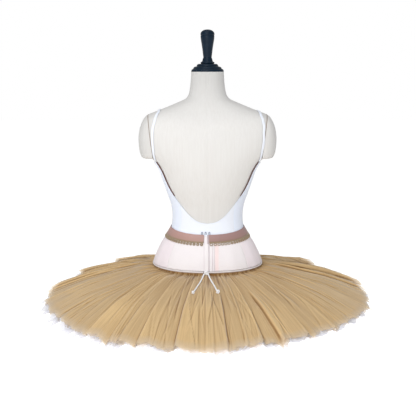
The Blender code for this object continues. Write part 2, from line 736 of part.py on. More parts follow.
def add_layer(number, layer):
    """Gather one layer of tulle: root on the net base, rim out in a ragged ring."""
    columns = []
    for degrees, notch, depth in fold_columns():
        angle = math.radians(degrees)
        sine = math.sin(angle)
        root_height = line_height(ROOT_HEIGHT, angle) - ROOT_STEP * number
        root = form_point(root_height, angle, BASE_NET_OFF + BASE_NET_WALL + ROOT_GAP)
        rim = Vector((SKIRT_RIM_X * math.cos(angle), SKIRT_RIM_Y * sine, 0.0))
        rim.z = RIM_HEIGHT + (TILT_FRONT if sine > 0 else TILT_BACK) * sine - RIM_STEP * number
        rim -= Vector((math.cos(angle), sine, 0.0)) * notch
        tilt = PUFF_AT_SIDE + PUFF_TILT * sine
        near_back = math.exp(-((degrees - BACK_DEGREES) / BACK_SPREAD) ** 2)
        column = []
        for gather in layer.gathers:
            point = root.lerp(rim, gather.reach)
            kept = 1 + (gather.back_share - 1) * near_back
            point.z += layer.puff * gather.puff * kept * tilt + layer.fold * gather.fold * depth
            column.append(point)
        columns.append(column)
    columns = [list(reversed(column)) for column in columns]
    finish = GOLD_TULLE if "gold" in layer.name else WHITE_TULLE
    return cloth(layer.name, columns, finish, TULLE_WALL, closed=True)


add_torso()
add_arm("form_arm_left", -1)
add_arm("form_arm_right", 1)
add_base_board()
turned("form_neck_cap", NECK_CAP, BLACK_WOOD)
turned("form_handle", HANDLE, BLACK_WOOD)

bodice_panel("bodice_centre_back", -135.0, -45.0, BACK_ROWS)
bodice_panel("bodice_side_back_right", -45.0, 0.0, BACK_ROWS, (STRAP_CORNER_DEGREES,))
bodice_panel("bodice_side_front_right", 0.0, 52.5, FRONT_ROWS)
bodice_panel("bodice_centre_front", 52.5, 127.5, FRONT_ROWS, FRONT_EXTRA_DEGREES)
bodice_panel("bodice_side_front_left", 127.5, 180.0, FRONT_ROWS)
bodice_panel("bodice_side_back_left", 180.0, 225.0, BACK_ROWS, (180.0 - STRAP_CORNER_DEGREES,))
for side_name, side_sign in (("left", -1), ("right", 1)):
    add_neck_binding(f"neck_binding_{side_name}", side_sign)
    add_strap(f"strap_{side_name}", side_sign)

add_waistband()
add_hooks()
add_basque()
add_drawstring()

add_net_base()
for layer_number, tulle_layer in enumerate(LAYERS):
    add_layer(layer_number, tulle_layer)
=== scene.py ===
"""A ballet tutu on a tabletop dress form: its cloth, cord and finishes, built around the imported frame."""

import math

import bmesh
import bpy
import numpy as np
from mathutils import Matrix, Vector


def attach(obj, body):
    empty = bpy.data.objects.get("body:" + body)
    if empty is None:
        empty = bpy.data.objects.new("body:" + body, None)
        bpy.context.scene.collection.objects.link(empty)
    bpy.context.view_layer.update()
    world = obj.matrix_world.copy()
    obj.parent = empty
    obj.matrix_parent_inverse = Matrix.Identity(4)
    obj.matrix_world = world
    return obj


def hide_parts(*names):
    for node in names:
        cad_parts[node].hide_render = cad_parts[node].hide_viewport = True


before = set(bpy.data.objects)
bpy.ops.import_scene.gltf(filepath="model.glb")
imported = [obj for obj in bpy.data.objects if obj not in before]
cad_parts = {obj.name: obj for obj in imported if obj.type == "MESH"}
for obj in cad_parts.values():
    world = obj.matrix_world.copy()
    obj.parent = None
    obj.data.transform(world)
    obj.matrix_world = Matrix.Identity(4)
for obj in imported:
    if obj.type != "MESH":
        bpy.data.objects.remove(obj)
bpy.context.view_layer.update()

# ---- Camera ------------------------------------------------------------------------------------
# A long lens at the height of the form's neck, 2.8 m behind the wearer's back and tipped a little
# down, so that the skirt's upper side shows.
CAMERA_PLACE = (0.0015, -2.8, 0.765)
CAMERA_TIP = 8.3             # degrees below level
CAMERA_LENS = 80.7           # mm, on a 36 mm sensor
lens = bpy.data.cameras.new("camera")
lens.lens = CAMERA_LENS
lens.sensor_width = 36.0
camera = bpy.data.objects.new("camera", lens)
camera.location = CAMERA_PLACE
camera.rotation_euler = (math.radians(90 - CAMERA_TIP), 0, 0)
bpy.context.scene.collection.objects.link(camera)
bpy.context.scene.camera = camera
bpy.context.scene.view_settings.view_transform = "Standard"

# ---- Drawstring ----------------------------------------------------------------------------------
# A laid cotton cord in three plies, tied at the centre back. Its two free ends fall from the tie
# over the tulle, and each is stopped with an overhand knot.
CORD_ACROSS = 0.0044
CORD_PLIES = 3
CORD_LAY = 0.0110            # length of one full turn of the plies
PLY_GROOVE = 0.16            # share of the cord's radius
CORD_SIDES = 24
CORD_STEP = 0.0006           # between two rings of points
ROUTE_POINTS = 400           # along a route's curve, before it is spaced evenly
CORD_LEFT = (
    (-0.0106, -0.1444, 0.1824),
    (-0.0150, -0.1600, 0.1745),
    (-0.0212, -0.1870, 0.1682),
    (-0.0292, -0.2190, 0.1630),
    (-0.0384, -0.2580, 0.1574),
)
CORD_RIGHT = (
    (0.0026, -0.1444, 0.1824),
    (0.0062, -0.1600, 0.1762),
    (0.0124, -0.1880, 0.1707),
    (0.0196, -0.2190, 0.1655),
    (0.0264, -0.2550, 0.1598),
)
# Each knot's centre and half sizes
TIE_KNOT = ((-0.0040, -0.1396, 0.1853), (0.0076, 0.0038, 0.0060))
LEFT_KNOT = ((-0.0404, -0.2638, 0.1575), (0.0047, 0.0062, 0.0045))
RIGHT_KNOT = ((0.0284, -0.2616, 0.1593), (0.0058, 0.0068, 0.0054))


def smooth_curve(places, values):
    """Give a function that reads a smooth curve through rows of values and never overshoots."""
    places, values = np.array(places, float), np.array(values, float)
    slopes = np.diff(values) / np.diff(places)
    both = slopes[:-1] + slopes[1:]
    level = slopes[:-1] * slopes[1:] <= 0
    inner = np.where(level, 0.0, 2 * slopes[:-1] * slopes[1:] / np.where(both == 0, 1.0, both))
    tangents = np.concatenate([slopes[:1], inner, slopes[-1:]])

    def read(place):
        place = np.clip(place, places[0], places[-1])
        k = np.clip(np.searchsorted(places, place, side="right") - 1, 0, len(places) - 2)
        span = places[k + 1] - places[k]
        t = (place - places[k]) / span
        rise = values[k + 1] - values[k]
        bend_in, bend_out = tangents[k] * span, tangents[k + 1] * span
        return (values[k] + bend_in * t + (3 * rise - 2 * bend_in - bend_out) * t ** 2
                + (bend_in + bend_out - 2 * rise) * t ** 3)

    return read


def new_material(name, base, roughness, specular=0.5, sheen=0.0):
    """Start a material: a Principled shader with a plain colour, to be wired further."""
    material = bpy.data.materials.new(name)
    material.use_nodes = True
    shader = material.node_tree.nodes["Principled BSDF"]
    shader.inputs["Base Color"].default_value = (*base, 1.0)
    shader.inputs["Roughness"].default_value = roughness
    shader.inputs["Specular IOR Level"].default_value = specular
    shader.inputs["Sheen Weight"].default_value = sheen
    return material, material.node_tree.nodes, shader


def new_group(name, inputs, outputs):
    """Start a shader node group with named sockets, and give their inner ends with it."""
    group = bpy.data.node_groups.new(name, "ShaderNodeTree")
    for socket, kind, value in inputs:
        made = group.interface.new_socket(socket, in_out="INPUT", socket_type=kind)
        made.default_value = value
    for socket, kind in outputs:
        group.interface.new_socket(socket, in_out="OUTPUT", socket_type=kind)
    return group, group.nodes.new("NodeGroupInput").outputs, group.nodes.new("NodeGroupOutput").inputs


def feed(socket, value):
    """Link another node's output to a socket, or set the socket to a plain value."""
    if isinstance(value, bpy.types.NodeSocket):
        socket.id_data.links.new(value, socket)
    else:
        socket.default_value = value


def add_node(nodes, kind, **values):
    """Add a node; values are its properties, or are fed to the sockets of those names."""
    node = nodes.new(kind)
    for key, value in values.items():
        socket = key.replace("_", " ").title()
        if socket in node.inputs:
            feed(node.inputs[socket], value)
        else:
            setattr(node, key, value)
    return node


def place_group(nodes, group, **values):
    """Place a group in a material with its own values."""
    node = add_node(nodes, "ShaderNodeGroup", node_tree=group)
    for key, value in values.items():
        feed(node.inputs[key.replace("_", " ").capitalize()], value)
    return node


def work_out(nodes, operation, *terms, use_clamp=False):
    """Do one sum on the terms."""
    node = add_node(nodes, "ShaderNodeMath", operation=operation, use_clamp=use_clamp)
    for socket, term in zip(node.inputs, terms):
        feed(socket, term)
    return node.outputs[0]


def fade(nodes, value, start=0.0, stop=1.0, low=0.0, high=1.0):
    """Carry a value from one span over to another, held at both ends."""
    return add_node(nodes, "ShaderNodeMapRange", value=value, from_min=start, from_max=stop,
                    to_min=low, to_max=high).outputs["Result"]


def mix_colours(nodes, share, first, second, blend="MIX"):
    """Mix a second colour into the first by a share; MULTIPLY tints the first with it instead."""
    return add_node(nodes, "ShaderNodeMix", data_type="RGBA", blend_type=blend, factor=share,
                    a=first, b=second).outputs["Result"]


def ramp(nodes, value, *stops):
    """Read a colour between stops, each a position and a colour."""
    node = add_node(nodes, "ShaderNodeValToRGB", fac=value)
    for element, (position, colour) in zip(node.color_ramp.elements, (stops[0], stops[-1])):
        element.position, element.color = position, (*colour, 1)
    for position, colour in stops[1:-1]:
        node.color_ramp.elements.new(position).color = (*colour, 1)
    return node.outputs["Color"]


def noise(nodes, scale, detail, **values):
    """Add a noise and give its level."""
    return add_node(nodes, "ShaderNodeTexNoise", scale=scale, detail=detail, **values).outputs["Fac"]


def read_place(nodes, space):
    """Give the place of a point in the piece's own space or on its map."""
    return add_node(nodes, "ShaderNodeTexCoord").outputs[space]


def split_place(nodes, place):
    """Give the three parts of a place."""
    return add_node(nodes, "ShaderNodeSeparateXYZ", vector=place).outputs


def read_mark(nodes, name):
    """Give the share that a mesh carries at its points under that name."""
    return add_node(nodes, "ShaderNodeAttribute", attribute_name=name).outputs["Fac"]


def build_tone_drift():
    """Colours wander slowly between two tones over the cloth, as dye and handling leave them."""
    group, given, result = new_group(
        "tone drift",
        [("Tone", "NodeSocketColor", (1, 1, 1, 1)), ("Other tone", "NodeSocketColor", (1, 1, 1, 1)),
         ("Patch size", "NodeSocketFloat", 0.05), ("Contrast", "NodeSocketFloat", 1.0)],
        [("Color", "NodeSocketColor"), ("Share", "NodeSocketFloat")])
    nodes = group.nodes
    scale = work_out(nodes, "DIVIDE", 1.0, given["Patch size"])
    centred = work_out(nodes, "SUBTRACT", noise(nodes, scale, 3.0, vector=read_place(nodes, "Object")), 0.5)
    spread = work_out(nodes, "MULTIPLY_ADD", centred, given["Contrast"], 0.5, use_clamp=True)
    feed(result["Color"], mix_colours(nodes, spread, given["Tone"], given["Other tone"]))
    feed(result["Share"], spread)
    return group


tone_drift = build_tone_drift()


def drift(nodes, light, shade, patch_size, contrast):
    """Give a colour that drifts between two tones."""
    return place_group(nodes, tone_drift, Tone=(*light, 1), Other_tone=(*shade, 1), Patch_size=patch_size,
                       Contrast=contrast).outputs["Color"]


def build_thread_weave():
    """Threads crossing at right angles in the cloth's own map, in metres along warp and weft."""
    group, given, result = new_group(
        "thread weave",
        [("Pitch", "NodeSocketFloat", 0.001), ("Slub", "NodeSocketFloat", 0.3)],
        [("Height", "NodeSocketFloat"), ("Thread", "NodeSocketFloat")])
    nodes = group.nodes
    place = read_place(nodes, "UV")
    wobble = noise(nodes, 90.0, 2.0, vector=place)
    waves = []
    for across in split_place(nodes, place)[:2]:
        turns = work_out(nodes, "DIVIDE", across, given["Pitch"])
        shifted = work_out(nodes, "MULTIPLY_ADD", wobble, given["Slub"], turns)
        waves.append(work_out(nodes, "SINE", work_out(nodes, "MULTIPLY", shifted, 2 * math.pi)))
    crossed = work_out(nodes, "MAXIMUM", *waves)
    feed(result["Height"], work_out(nodes, "MULTIPLY", *waves))
    feed(result["Thread"], work_out(nodes, "MULTIPLY_ADD", crossed, 0.5, 0.5, use_clamp=True))
    return group


thread_weave = build_thread_weave()


def bump_from(nodes, shader, height, depth, strength=1.0):
    """Feed a height to the shader's normal; depth is in metres."""
    bump = add_node(nodes, "ShaderNodeBump", strength=strength, distance=depth, height=height)
    feed(shader.inputs["Normal"], bump.outputs["Normal"])


def place_mesh(name, mesh, material):
    """Give a mesh its material, and place it in the scene as a piece of that name."""
    mesh.materials.append(material)
    piece = bpy.data.objects.new(name, mesh)
    bpy.context.scene.collection.objects.link(piece)
    return piece


def add_mark(piece, name, values):
    """Write a share at each of a mesh's points, for its material to read."""
    mark = piece.data.attributes.new(name, "FLOAT", "POINT")
    mark.data.foreach_set("value", values.astype(np.float32).ravel())


def skin(name, points, material, closed=False, caps=False):
    """Skin a grid of points, rows by columns, with faces out to the left of each row's run.

    Its map is in metres: across the columns at the grid's mean width, and up the rows.
    """
    rows, columns = points.shape[:2]
    mesh = bpy.data.meshes.new(name)
    index = np.arange(rows * columns).reshape(rows, columns)
    if closed:
        index = np.concatenate([index, index[:, :1]], axis=1)
    quads = np.stack([index[:-1, :-1], index[:-1, 1:], index[1:, 1:], index[1:, :-1]], axis=-1).reshape(-1, 4)
    faces = quads.tolist()
    if caps:
        faces.append(list(reversed(range(columns))))
        faces.append(list(range((rows - 1) * columns, rows * columns)))
    mesh.from_pydata(points.reshape(-1, 3).tolist(), [], faces)
    ring = points if not closed else np.concatenate([points, points[:, :1]], axis=1)
    across = np.linalg.norm(np.diff(ring, axis=1), axis=2).mean(axis=0)
    upward = np.linalg.norm(np.diff(points, axis=0), axis=2).mean(axis=1)
    u = np.concatenate([[0.0], np.cumsum(across)])
    v = np.concatenate([[0.0], np.cumsum(upward)])
    bays = index.shape[1] - 1
    corner_row = np.repeat(np.arange(rows - 1), bays * 4) + np.tile([0, 0, 1, 1], len(quads))
    corner_column = np.tile(np.repeat(np.arange(bays), 4), rows - 1) + np.tile([0, 1, 1, 0], len(quads))
    places = np.stack([u[corner_column], v[corner_row]], axis=1)
    extra = sum(len(face) for face in faces) - len(places)
    places = np.concatenate([places, np.zeros((extra, 2))])
    mesh.uv_layers.new(name="cloth")
    mesh.uv_layers["cloth"].data.foreach_set("uv", places.astype(np.float32).ravel())
    mesh.shade_smooth()
    return place_mesh(name, mesh, material)


def run_along(line):
    """Measure how far along a line each of its points is."""
    return np.concatenate([[0.0], np.cumsum(np.linalg.norm(np.diff(line, axis=0), axis=1))])


def read_at(at, run, line):
    """Find the points of a line at distances along its run."""
    return np.stack([np.interp(at, run, line[:, k]) for k in range(3)], axis=1)


def along_route(points, step):
    """Read evenly spaced points from a smooth curve through a route's own points."""
    points = np.array(points, float)
    steps = np.arange(len(points))
    fine = np.linspace(0, len(points) - 1, ROUTE_POINTS)
    line = np.stack([smooth_curve(steps, points[:, k])(fine) for k in range(3)], axis=1)
    run = run_along(line)
    at = np.linspace(0, run[-1], int(round(run[-1] / step)) + 1)
    return read_at(at, run, line), run[-1]


def sweep(line, radii, sides, flat=1.0, looped=False):
    """Sweep a ring of points along a line; radii is rows by sides, flat squeezes the ring.

    A looped line is closed by its first ring.
    """
    ahead, behind = np.roll(line, -1, axis=0), np.roll(line, 1, axis=0)
    if not looped:
        ahead[-1], behind[0] = line[-1], line[0]
    along = ahead - behind
    along /= np.linalg.norm(along, axis=1, keepdims=True)
    upright = np.cross(along[0], (0.0, 0.0, 1.0))
    if np.linalg.norm(upright) < 1e-6:
        upright = np.array((1.0, 0.0, 0.0))
    sideways = []
    for direction in along:
        upright = upright - direction * np.dot(upright, direction)
        upright = upright / np.linalg.norm(upright)
        sideways.append(upright)
    sideways = np.array(sideways)
    second = np.cross(along, sideways)
    turn = np.linspace(0, 2 * np.pi, sides, endpoint=False)
    rings = (line[:, None] + radii[..., None] * (sideways[:, None] * np.cos(turn)[None, :, None]
             + flat * second[:, None] * np.sin(turn)[None, :, None]))
    return np.concatenate([rings, rings[:1]]) if looped else rings


def laid_cord(line):
    """Give the rings of a laid cord along a line."""
    turn = np.linspace(0, 2 * np.pi, CORD_SIDES, endpoint=False)
    phase = CORD_PLIES * (turn[None, :] - 2 * np.pi * run_along(line)[:, None] / CORD_LAY) / 2
    radii = CORD_ACROSS / 2 * (1 - PLY_GROOVE + PLY_GROOVE * np.abs(np.sin(phase)) ** 0.7)
    return sweep(line, radii, CORD_SIDES)


cotton, nodes, shader = new_material("white cotton cord", (0.86, 0.88, 0.90), 0.85, sheen=0.3)
feed(shader.inputs["Base Color"], drift(nodes, (0.97, 0.97, 0.98), (0.88, 0.89, 0.92), 0.004, 1.6))
bump_from(nodes, shader, noise(nodes, 2600.0, 2.0), 0.0003, 0.5)
KNOT_POINTS, KNOT_LOBES = 150, 3
KNOT_THICK = CORD_ACROSS * 0.42     # the cord's half width, drawn tight


def tie_knot(name, centre, half_sizes, node, lobes):
    """Draw up a knot: a cord that winds round itself, pulled tight into its space."""
    t = np.linspace(0, 2 * np.pi, KNOT_POINTS, endpoint=False)
    room = np.array(half_sizes) - KNOT_THICK
    ring = 0.62 + 0.38 * np.cos(lobes * t)
    line = np.stack([ring * np.cos(2 * t), ring * np.sin(2 * t), np.sin(lobes * t)], axis=1)
    line = np.array(centre) + line * room
    turn = np.linspace(0, 2 * np.pi, CORD_SIDES, endpoint=False)
    radii = KNOT_THICK * (1 + 0.08 * np.sin(CORD_PLIES * turn[None, :] - 12 * t[:, None]))
    piece = skin(name, sweep(line, radii, CORD_SIDES, looped=True), cotton, closed=True)
    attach(piece, "root")
    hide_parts(node)
    return piece


tie_knot("drawstring_tie_knot", *TIE_KNOT, "drawstring_tie", KNOT_LOBES)
for side, route, knot in (("left", CORD_LEFT, LEFT_KNOT), ("right", CORD_RIGHT, RIGHT_KNOT)):
    stopper = tie_knot(f"drawstring_{side}_stopper", *knot, f"drawstring_{side}_knot", KNOT_LOBES)
    line, length = along_route(route, CORD_STEP)
    free_end = skin(f"drawstring_{side}_end", laid_cord(line), cotton, closed=True, caps=True)
    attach(free_end, "root")
    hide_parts(f"drawstring_{side}")

# ---- Dress form ----------------------------------------------------------------------------------
# A padded torso and neck under tight off-white linen, seamed down the middle of the back and the
# front, with short padded caps that close its armholes. A board closes it underneath.
FORM_LEVELS = np.array((          # height, half width, front, back
    (0.0080, 0.1500, 0.0960, 0.1120),
    (0.0500, 0.1545, 0.0990, 0.1180),
    (0.1000, 0.1570, 0.1010, 0.1230),
    (0.1500, 0.1565, 0.1010, 0.1260),
    (0.2000, 0.1490, 0.0980, 0.1190),
    (0.2400, 0.1365, 0.0940, 0.1050),
    (0.2760, 0.1205, 0.0890, 0.0900),
    (0.3050, 0.1070, 0.0855, 0.0790),
    (0.3350, 0.1045, 0.0840, 0.0740),
    (0.3630, 0.1070, 0.0860, 0.0745),
    (0.3990, 0.1185, 0.0930, 0.0790),
    (0.4350, 0.1310, 0.1030, 0.0850),
    (0.4710, 0.1435, 0.1090, 0.0890),
    (0.5000, 0.1600, 0.1080, 0.0900),
    (0.5300, 0.1810, 0.1030, 0.0890),
    (0.5650, 0.1940, 0.0960, 0.0860),
    (0.6000, 0.1990, 0.0880, 0.0800),
    (0.6250, 0.1940, 0.0780, 0.0720),
    (0.6390, 0.1780, 0.0730, 0.0670),
    (0.6510, 0.1480, 0.0690, 0.0630),
    (0.6630, 0.1180, 0.0650, 0.0600),
    (0.6750, 0.0895, 0.0610, 0.0570),
    (0.6870, 0.0645, 0.0570, 0.0540),
    (0.7000, 0.0560, 0.0530, 0.0510),
    (0.7200, 0.0520, 0.0505, 0.0495),
    (0.7450, 0.0495, 0.0490, 0.0487),
    (0.7650, 0.0485, 0.0485, 0.0485),
))
ROUNDNESS = 2.2
BUST_HEIGHT, BUST_SIDE, BUST_RISE, BUST_SPREAD = 0.4650, 0.0750, 0.0060, 0.0600
ARMHOLE_LOW, ARMHOLE_LOW_X = 0.5085, 0.1628
ARMHOLE_HIGH, ARMHOLE_HIGH_X = 0.6390, 0.1773
ARMHOLE_SLOPE = (ARMHOLE_HIGH_X - ARMHOLE_LOW_X) / (ARMHOLE_HIGH - ARMHOLE_LOW)
form_sizes = [smooth_curve(FORM_LEVELS[:, 0], FORM_LEVELS[:, k]) for k in (1, 2, 3)]


def form_surface(height, angle, outward=0.0):
    """Find points on the form, or outward from it, at heights and angles."""
    half_width, front, back = (size(height) for size in form_sizes)
    cosine, sine = np.cos(angle), np.sin(angle)
    depth = np.where(sine > 0, front, back) + outward
    x = (half_width + outward) * np.sign(cosine) * np.abs(cosine) ** (2 / ROUNDNESS)
    y = depth * np.sign(sine) * np.abs(sine) ** (2 / ROUNDNESS)
    off_side, off_height = (np.abs(x) - BUST_SIDE) / BUST_SPREAD, (height - BUST_HEIGHT) / BUST_SPREAD
    bust = BUST_RISE * np.maximum(sine, 0.0) * np.exp(-off_side ** 2 - off_height ** 2)
    return np.stack([x, y + bust, height + 0.0 * x], axis=-1)


def denser_near(places, lowest, highest, count, spread, weight):
    """Space columns between two angles in degrees, closer together near the given places."""
    fine = np.linspace(lowest, highest, 20001)
    density = np.ones_like(fine)
    for place in places:
        density += weight * np.exp(-((fine - place) / spread) ** 2)
    share = np.concatenate([[0.0], np.cumsum((density[1:] + density[:-1]) / 2)])
    return np.radians(np.interp(np.linspace(0, share[-1], count), share, fine))


# Linen: a plain weave with slubs that run down the form, off-white, with painted shade that greys it by the
# neck and arms
SLUB_SCALE = (260.0, 260.0, 7.0)
PAINTED_SHADE_GREY = (0.575, 0.57, 0.56, 1)
linen, nodes, shader = new_material("off-white linen", (0.79, 0.77, 0.73), 0.9, 0.3, sheen=0.15)
place = read_place(nodes, "Object")
slub_map = add_node(nodes, "ShaderNodeMapping", scale=SLUB_SCALE, vector=place)
slubs = noise(nodes, 1.0, 4.0, vector=slub_map.outputs["Vector"])
slub_tint = ramp(nodes, slubs, (0.30, (0.965, 0.96, 0.955)), (0.62, (1, 1, 1)))
x_place, _, z_place = split_place(nodes, place)
# Painted shade: the linen is greyed towards the neck and the arms, where the light falls off
by_neck = fade(nodes, z_place, 0.61, 0.74)
by_arms = fade(nodes, work_out(nodes, "ABSOLUTE", x_place), 0.155, 0.195, high=0.75)
painted_shade = work_out(nodes, "ADD", by_neck, by_arms, use_clamp=True)
tone = drift(nodes, (0.745, 0.735, 0.72), (0.705, 0.695, 0.68), 0.16, 1.2)
tone = mix_colours(nodes, painted_shade, tone, PAINTED_SHADE_GREY)
feed(shader.inputs["Base Color"], mix_colours(nodes, 1.0, tone, slub_tint, "MULTIPLY"))
weave = place_group(nodes, thread_weave, Pitch=0.0011, Slub=0.6)
bump_from(nodes, shader, weave.outputs["Height"], 0.00012, 0.5)

TORSO_ROWS, TORSO_COLUMNS = 150, 176
SEAM_DEPTH, SEAM_SPREAD = 0.0007, 0.0011
SHARP_TURN = math.radians(38)    # an edge that turns more than this stays sharp
CUT_ABOVE = 0.42             # the armholes' cuts leave the form alone below this
torso_heights = np.linspace(FORM_LEVELS[0, 0], FORM_LEVELS[-1, 0], TORSO_ROWS)
torso_angles = denser_near((-90.0, 90.0), -180.0, 180.0, TORSO_COLUMNS + 1, 1.2, 9.0)[:-1]
torso_grid = form_surface(torso_heights[:, None], torso_angles[None, :])
seam_sink = SEAM_DEPTH * np.exp(-(torso_grid[..., 0] / SEAM_SPREAD) ** 2)
torso_grid[..., 1] -= seam_sink * np.sign(torso_grid[..., 1])
torso = skin("form_torso_linen", torso_grid, linen, closed=True, caps=True)
bm = bmesh.new()
bm.from_mesh(torso.data)
for side in (-1, 1):
    cut_normal = Vector((side, 0, -ARMHOLE_SLOPE)).normalized()
    upper = [face for face in bm.faces if face.calc_center_median().z > CUT_ABOVE and len(face.verts) == 4]
    near = set(upper)
    near.update(edge for face in upper for edge in face.edges)
    near.update(vert for face in upper for vert in face.verts)
    cut = bmesh.ops.bisect_plane(bm, geom=list(near), plane_co=(side * ARMHOLE_LOW_X, 0, ARMHOLE_LOW),
                                 plane_no=cut_normal, clear_outer=True)
    rim = [edge for edge in cut["geom_cut"] if isinstance(edge, bmesh.types.BMEdge)]
    bmesh.ops.contextual_create(bm, geom=rim)
bm.to_mesh(torso.data)
bm.free()
torso.data.set_sharp_from_angle(angle=SHARP_TURN)
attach(torso, "root")
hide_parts("form_torso")

# The armhole caps are padded like the torso. A fine brown piping is caught in each armhole seam; its dark
# brown is partly painted shade in the seam's gap.
ARM_COLUMNS = np.array((          # height, reach from the middle, half depth
    (0.5085, 0.1900, 0.0330),
    (0.5110, 0.1960, 0.0370),
    (0.5190, 0.2010, 0.0415),
    (0.5430, 0.2060, 0.0455),
    (0.5670, 0.2070, 0.0465),
    (0.5910, 0.2045, 0.0445),
    (0.6080, 0.2000, 0.0410),
    (0.6220, 0.1935, 0.0340),
    (0.6320, 0.1870, 0.0240),
    (0.6370, 0.1815, 0.0120),
))
ARM_GAP = 0.0003
ARM_ROWS, ARM_SIDES = 44, 40
PADDED_EDGE = 0.0022         # how far the padding rounds a cap's edge
PIPING_ACROSS = 0.0017
PIPING_POINTS, PIPING_SIDES = 160, 8
# The piping's dark brown is partly painted shade in the armhole seam's gap
piping_with_seam_shade = new_material("brown piping", (0.20, 0.12, 0.075), 0.75, 0.3, sheen=0.2)[0]
arm_outer = smooth_curve(ARM_COLUMNS[:, 0], ARM_COLUMNS[:, 1])
arm_depth = smooth_curve(ARM_COLUMNS[:, 0], ARM_COLUMNS[:, 2])
for side, side_name in ((-1, "left"), (1, "right")):
    share = (1 - np.cos(np.linspace(0, np.pi, ARM_ROWS))) / 2
    heights = ARM_COLUMNS[0, 0] + (ARM_COLUMNS[-1, 0] - ARM_COLUMNS[0, 0]) * share
    inner = ARMHOLE_LOW_X + ARMHOLE_SLOPE * (heights - ARMHOLE_LOW) + ARM_GAP
    turn = np.linspace(-np.pi / 2, np.pi / 2, ARM_SIDES) * side
    reach = (arm_outer(heights) - inner)[:, None] * np.abs(np.cos(turn))[None, :] ** (2 / ROUNDNESS)
    bulge = np.sign(np.sin(turn)) * np.abs(np.sin(turn)) ** (2 / ROUNDNESS)
    across = arm_depth(heights)[:, None] * bulge[None, :]
    arm_grid = np.stack([side * (inner[:, None] + reach), across, heights[:, None] + 0 * reach], axis=-1)
    arm = skin(f"form_arm_{side_name}_linen", arm_grid, linen, closed=True, caps=True)
    arm.data.set_sharp_from_angle(angle=SHARP_TURN)
    rounded = arm.modifiers.new("padded edge", "BEVEL")
    rounded.width = PADDED_EDGE
    rounded.segments = 3
    rounded.angle_limit = SHARP_TURN
    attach(arm, "root")
    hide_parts(f"form_arm_{side_name}")

    heights = np.linspace(ARMHOLE_LOW - 0.006, ARMHOLE_HIGH + 0.010, 60)
    plane = ARMHOLE_LOW_X + ARMHOLE_SLOPE * (heights - ARMHOLE_LOW)
    half_width, front, back = (size(heights) for size in form_sizes)
    open_share = np.clip(1 - (plane / half_width) ** ROUNDNESS, 0, None) ** (1 / ROUNDNESS)
    shown = open_share > 0
    behind = np.stack([side * plane, -back * open_share, heights], axis=1)[shown]
    ahead = np.stack([side * plane, front * open_share, heights], axis=1)[shown][::-1]
    loop = np.concatenate([behind, ahead])
    run = run_along(loop)
    loop = read_at(np.linspace(0, run[-1], PIPING_POINTS, endpoint=False), run, loop)
    rings = sweep(loop, np.full((len(loop), PIPING_SIDES), PIPING_ACROSS / 2), PIPING_SIDES, looped=True)
    piping = skin(f"form_armhole_piping_{side_name}", rings, piping_with_seam_shade, closed=True)
    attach(piping, "root")

# Under the form, a bare softwood board
BOARD_SCALE = (4.0, 60.0, 60.0)
board, nodes, shader = new_material("bare board", (0.45, 0.34, 0.22), 0.7)
board_map = add_node(nodes, "ShaderNodeMapping", scale=BOARD_SCALE, vector=read_place(nodes, "Object"))
grain = noise(nodes, 1.0, 5.0, distortion=0.6, vector=board_map.outputs["Vector"])
feed(shader.inputs["Base Color"], ramp(nodes, grain, (0.0, (0.33, 0.23, 0.13)), (1.0, (0.56, 0.44, 0.30))))
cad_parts["form_base_board"].data.materials.clear()
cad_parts["form_base_board"].data.materials.append(board)

# ---- Neck cap and handle -------------------------------------------------------------------------
# Turned hardwood under black lacquer: a stepped cap over the neck, and a waisted handle with a ring
# near its rounded top. Both are turned about the form's upright axis.
HANDLE_PROFILE = (           # height, radius
    (0.8892, 0.0000), (0.8890, 0.0045), (0.8884, 0.0082), (0.8875, 0.0112), (0.8862, 0.0137),
    (0.8847, 0.0159), (0.8830, 0.0177), (0.8812, 0.0191), (0.8794, 0.0200), (0.8775, 0.0206),
    (0.8756, 0.0208), (0.8742, 0.0207), (0.8733, 0.0204), (0.8727, 0.0199), (0.8720, 0.0198),
    (0.8713, 0.0202), (0.8702, 0.0205), (0.8680, 0.0205), (0.8645, 0.0202), (0.8611, 0.0198),
    (0.8560, 0.0191), (0.8508, 0.0182), (0.8406, 0.0166), (0.8304, 0.0151), (0.8201, 0.0139),
    (0.8119, 0.0129), (0.8090, 0.0125), (0.8072, 0.0124), (0.8060, 0.0127), (0.8047, 0.0137),
    (0.8022, 0.0144), (0.7996, 0.0149), (0.7970, 0.0158), (0.7955, 0.0165), (0.7947, 0.0181),
    (0.7938, 0.0201), (0.7926, 0.0207), (0.7912, 0.0207), (0.7899, 0.0200), (0.7890, 0.0189),
    (0.7890, 0.0000),
)
CAP_PROFILE = (              # height, radius
    (0.7887, 0.0000), (0.7887, 0.0262), (0.7881, 0.0280), (0.7870, 0.0298), (0.7856, 0.0311),
    (0.7842, 0.0318), (0.7826, 0.0321), (0.7815, 0.0322), (0.7811, 0.0345), (0.7805, 0.0370),
    (0.7794, 0.0395), (0.7778, 0.0412), (0.7762, 0.0419), (0.7748, 0.0420), (0.7744, 0.0432),
    (0.7735, 0.0448), (0.7720, 0.0466), (0.7700, 0.0478), (0.7680, 0.0483), (0.7658, 0.0485),
    (0.7653, 0.0482), (0.7653, 0.0000),
)
lacquer, nodes, shader = new_material("black lacquer", (0.003, 0.011, 0.024), 0.3, 0.16)
brush_marks = noise(nodes, 60.0, 3.0)
feed(shader.inputs["Base Color"], drift(nodes, (0.002, 0.009, 0.020), (0.004, 0.016, 0.032), 0.012, 1.4))
feed(shader.inputs["Roughness"], fade(nodes, brush_marks, low=0.28, high=0.44))
bump_from(nodes, shader, brush_marks, 0.0002, 0.25)
TURNED_SIDES = 96
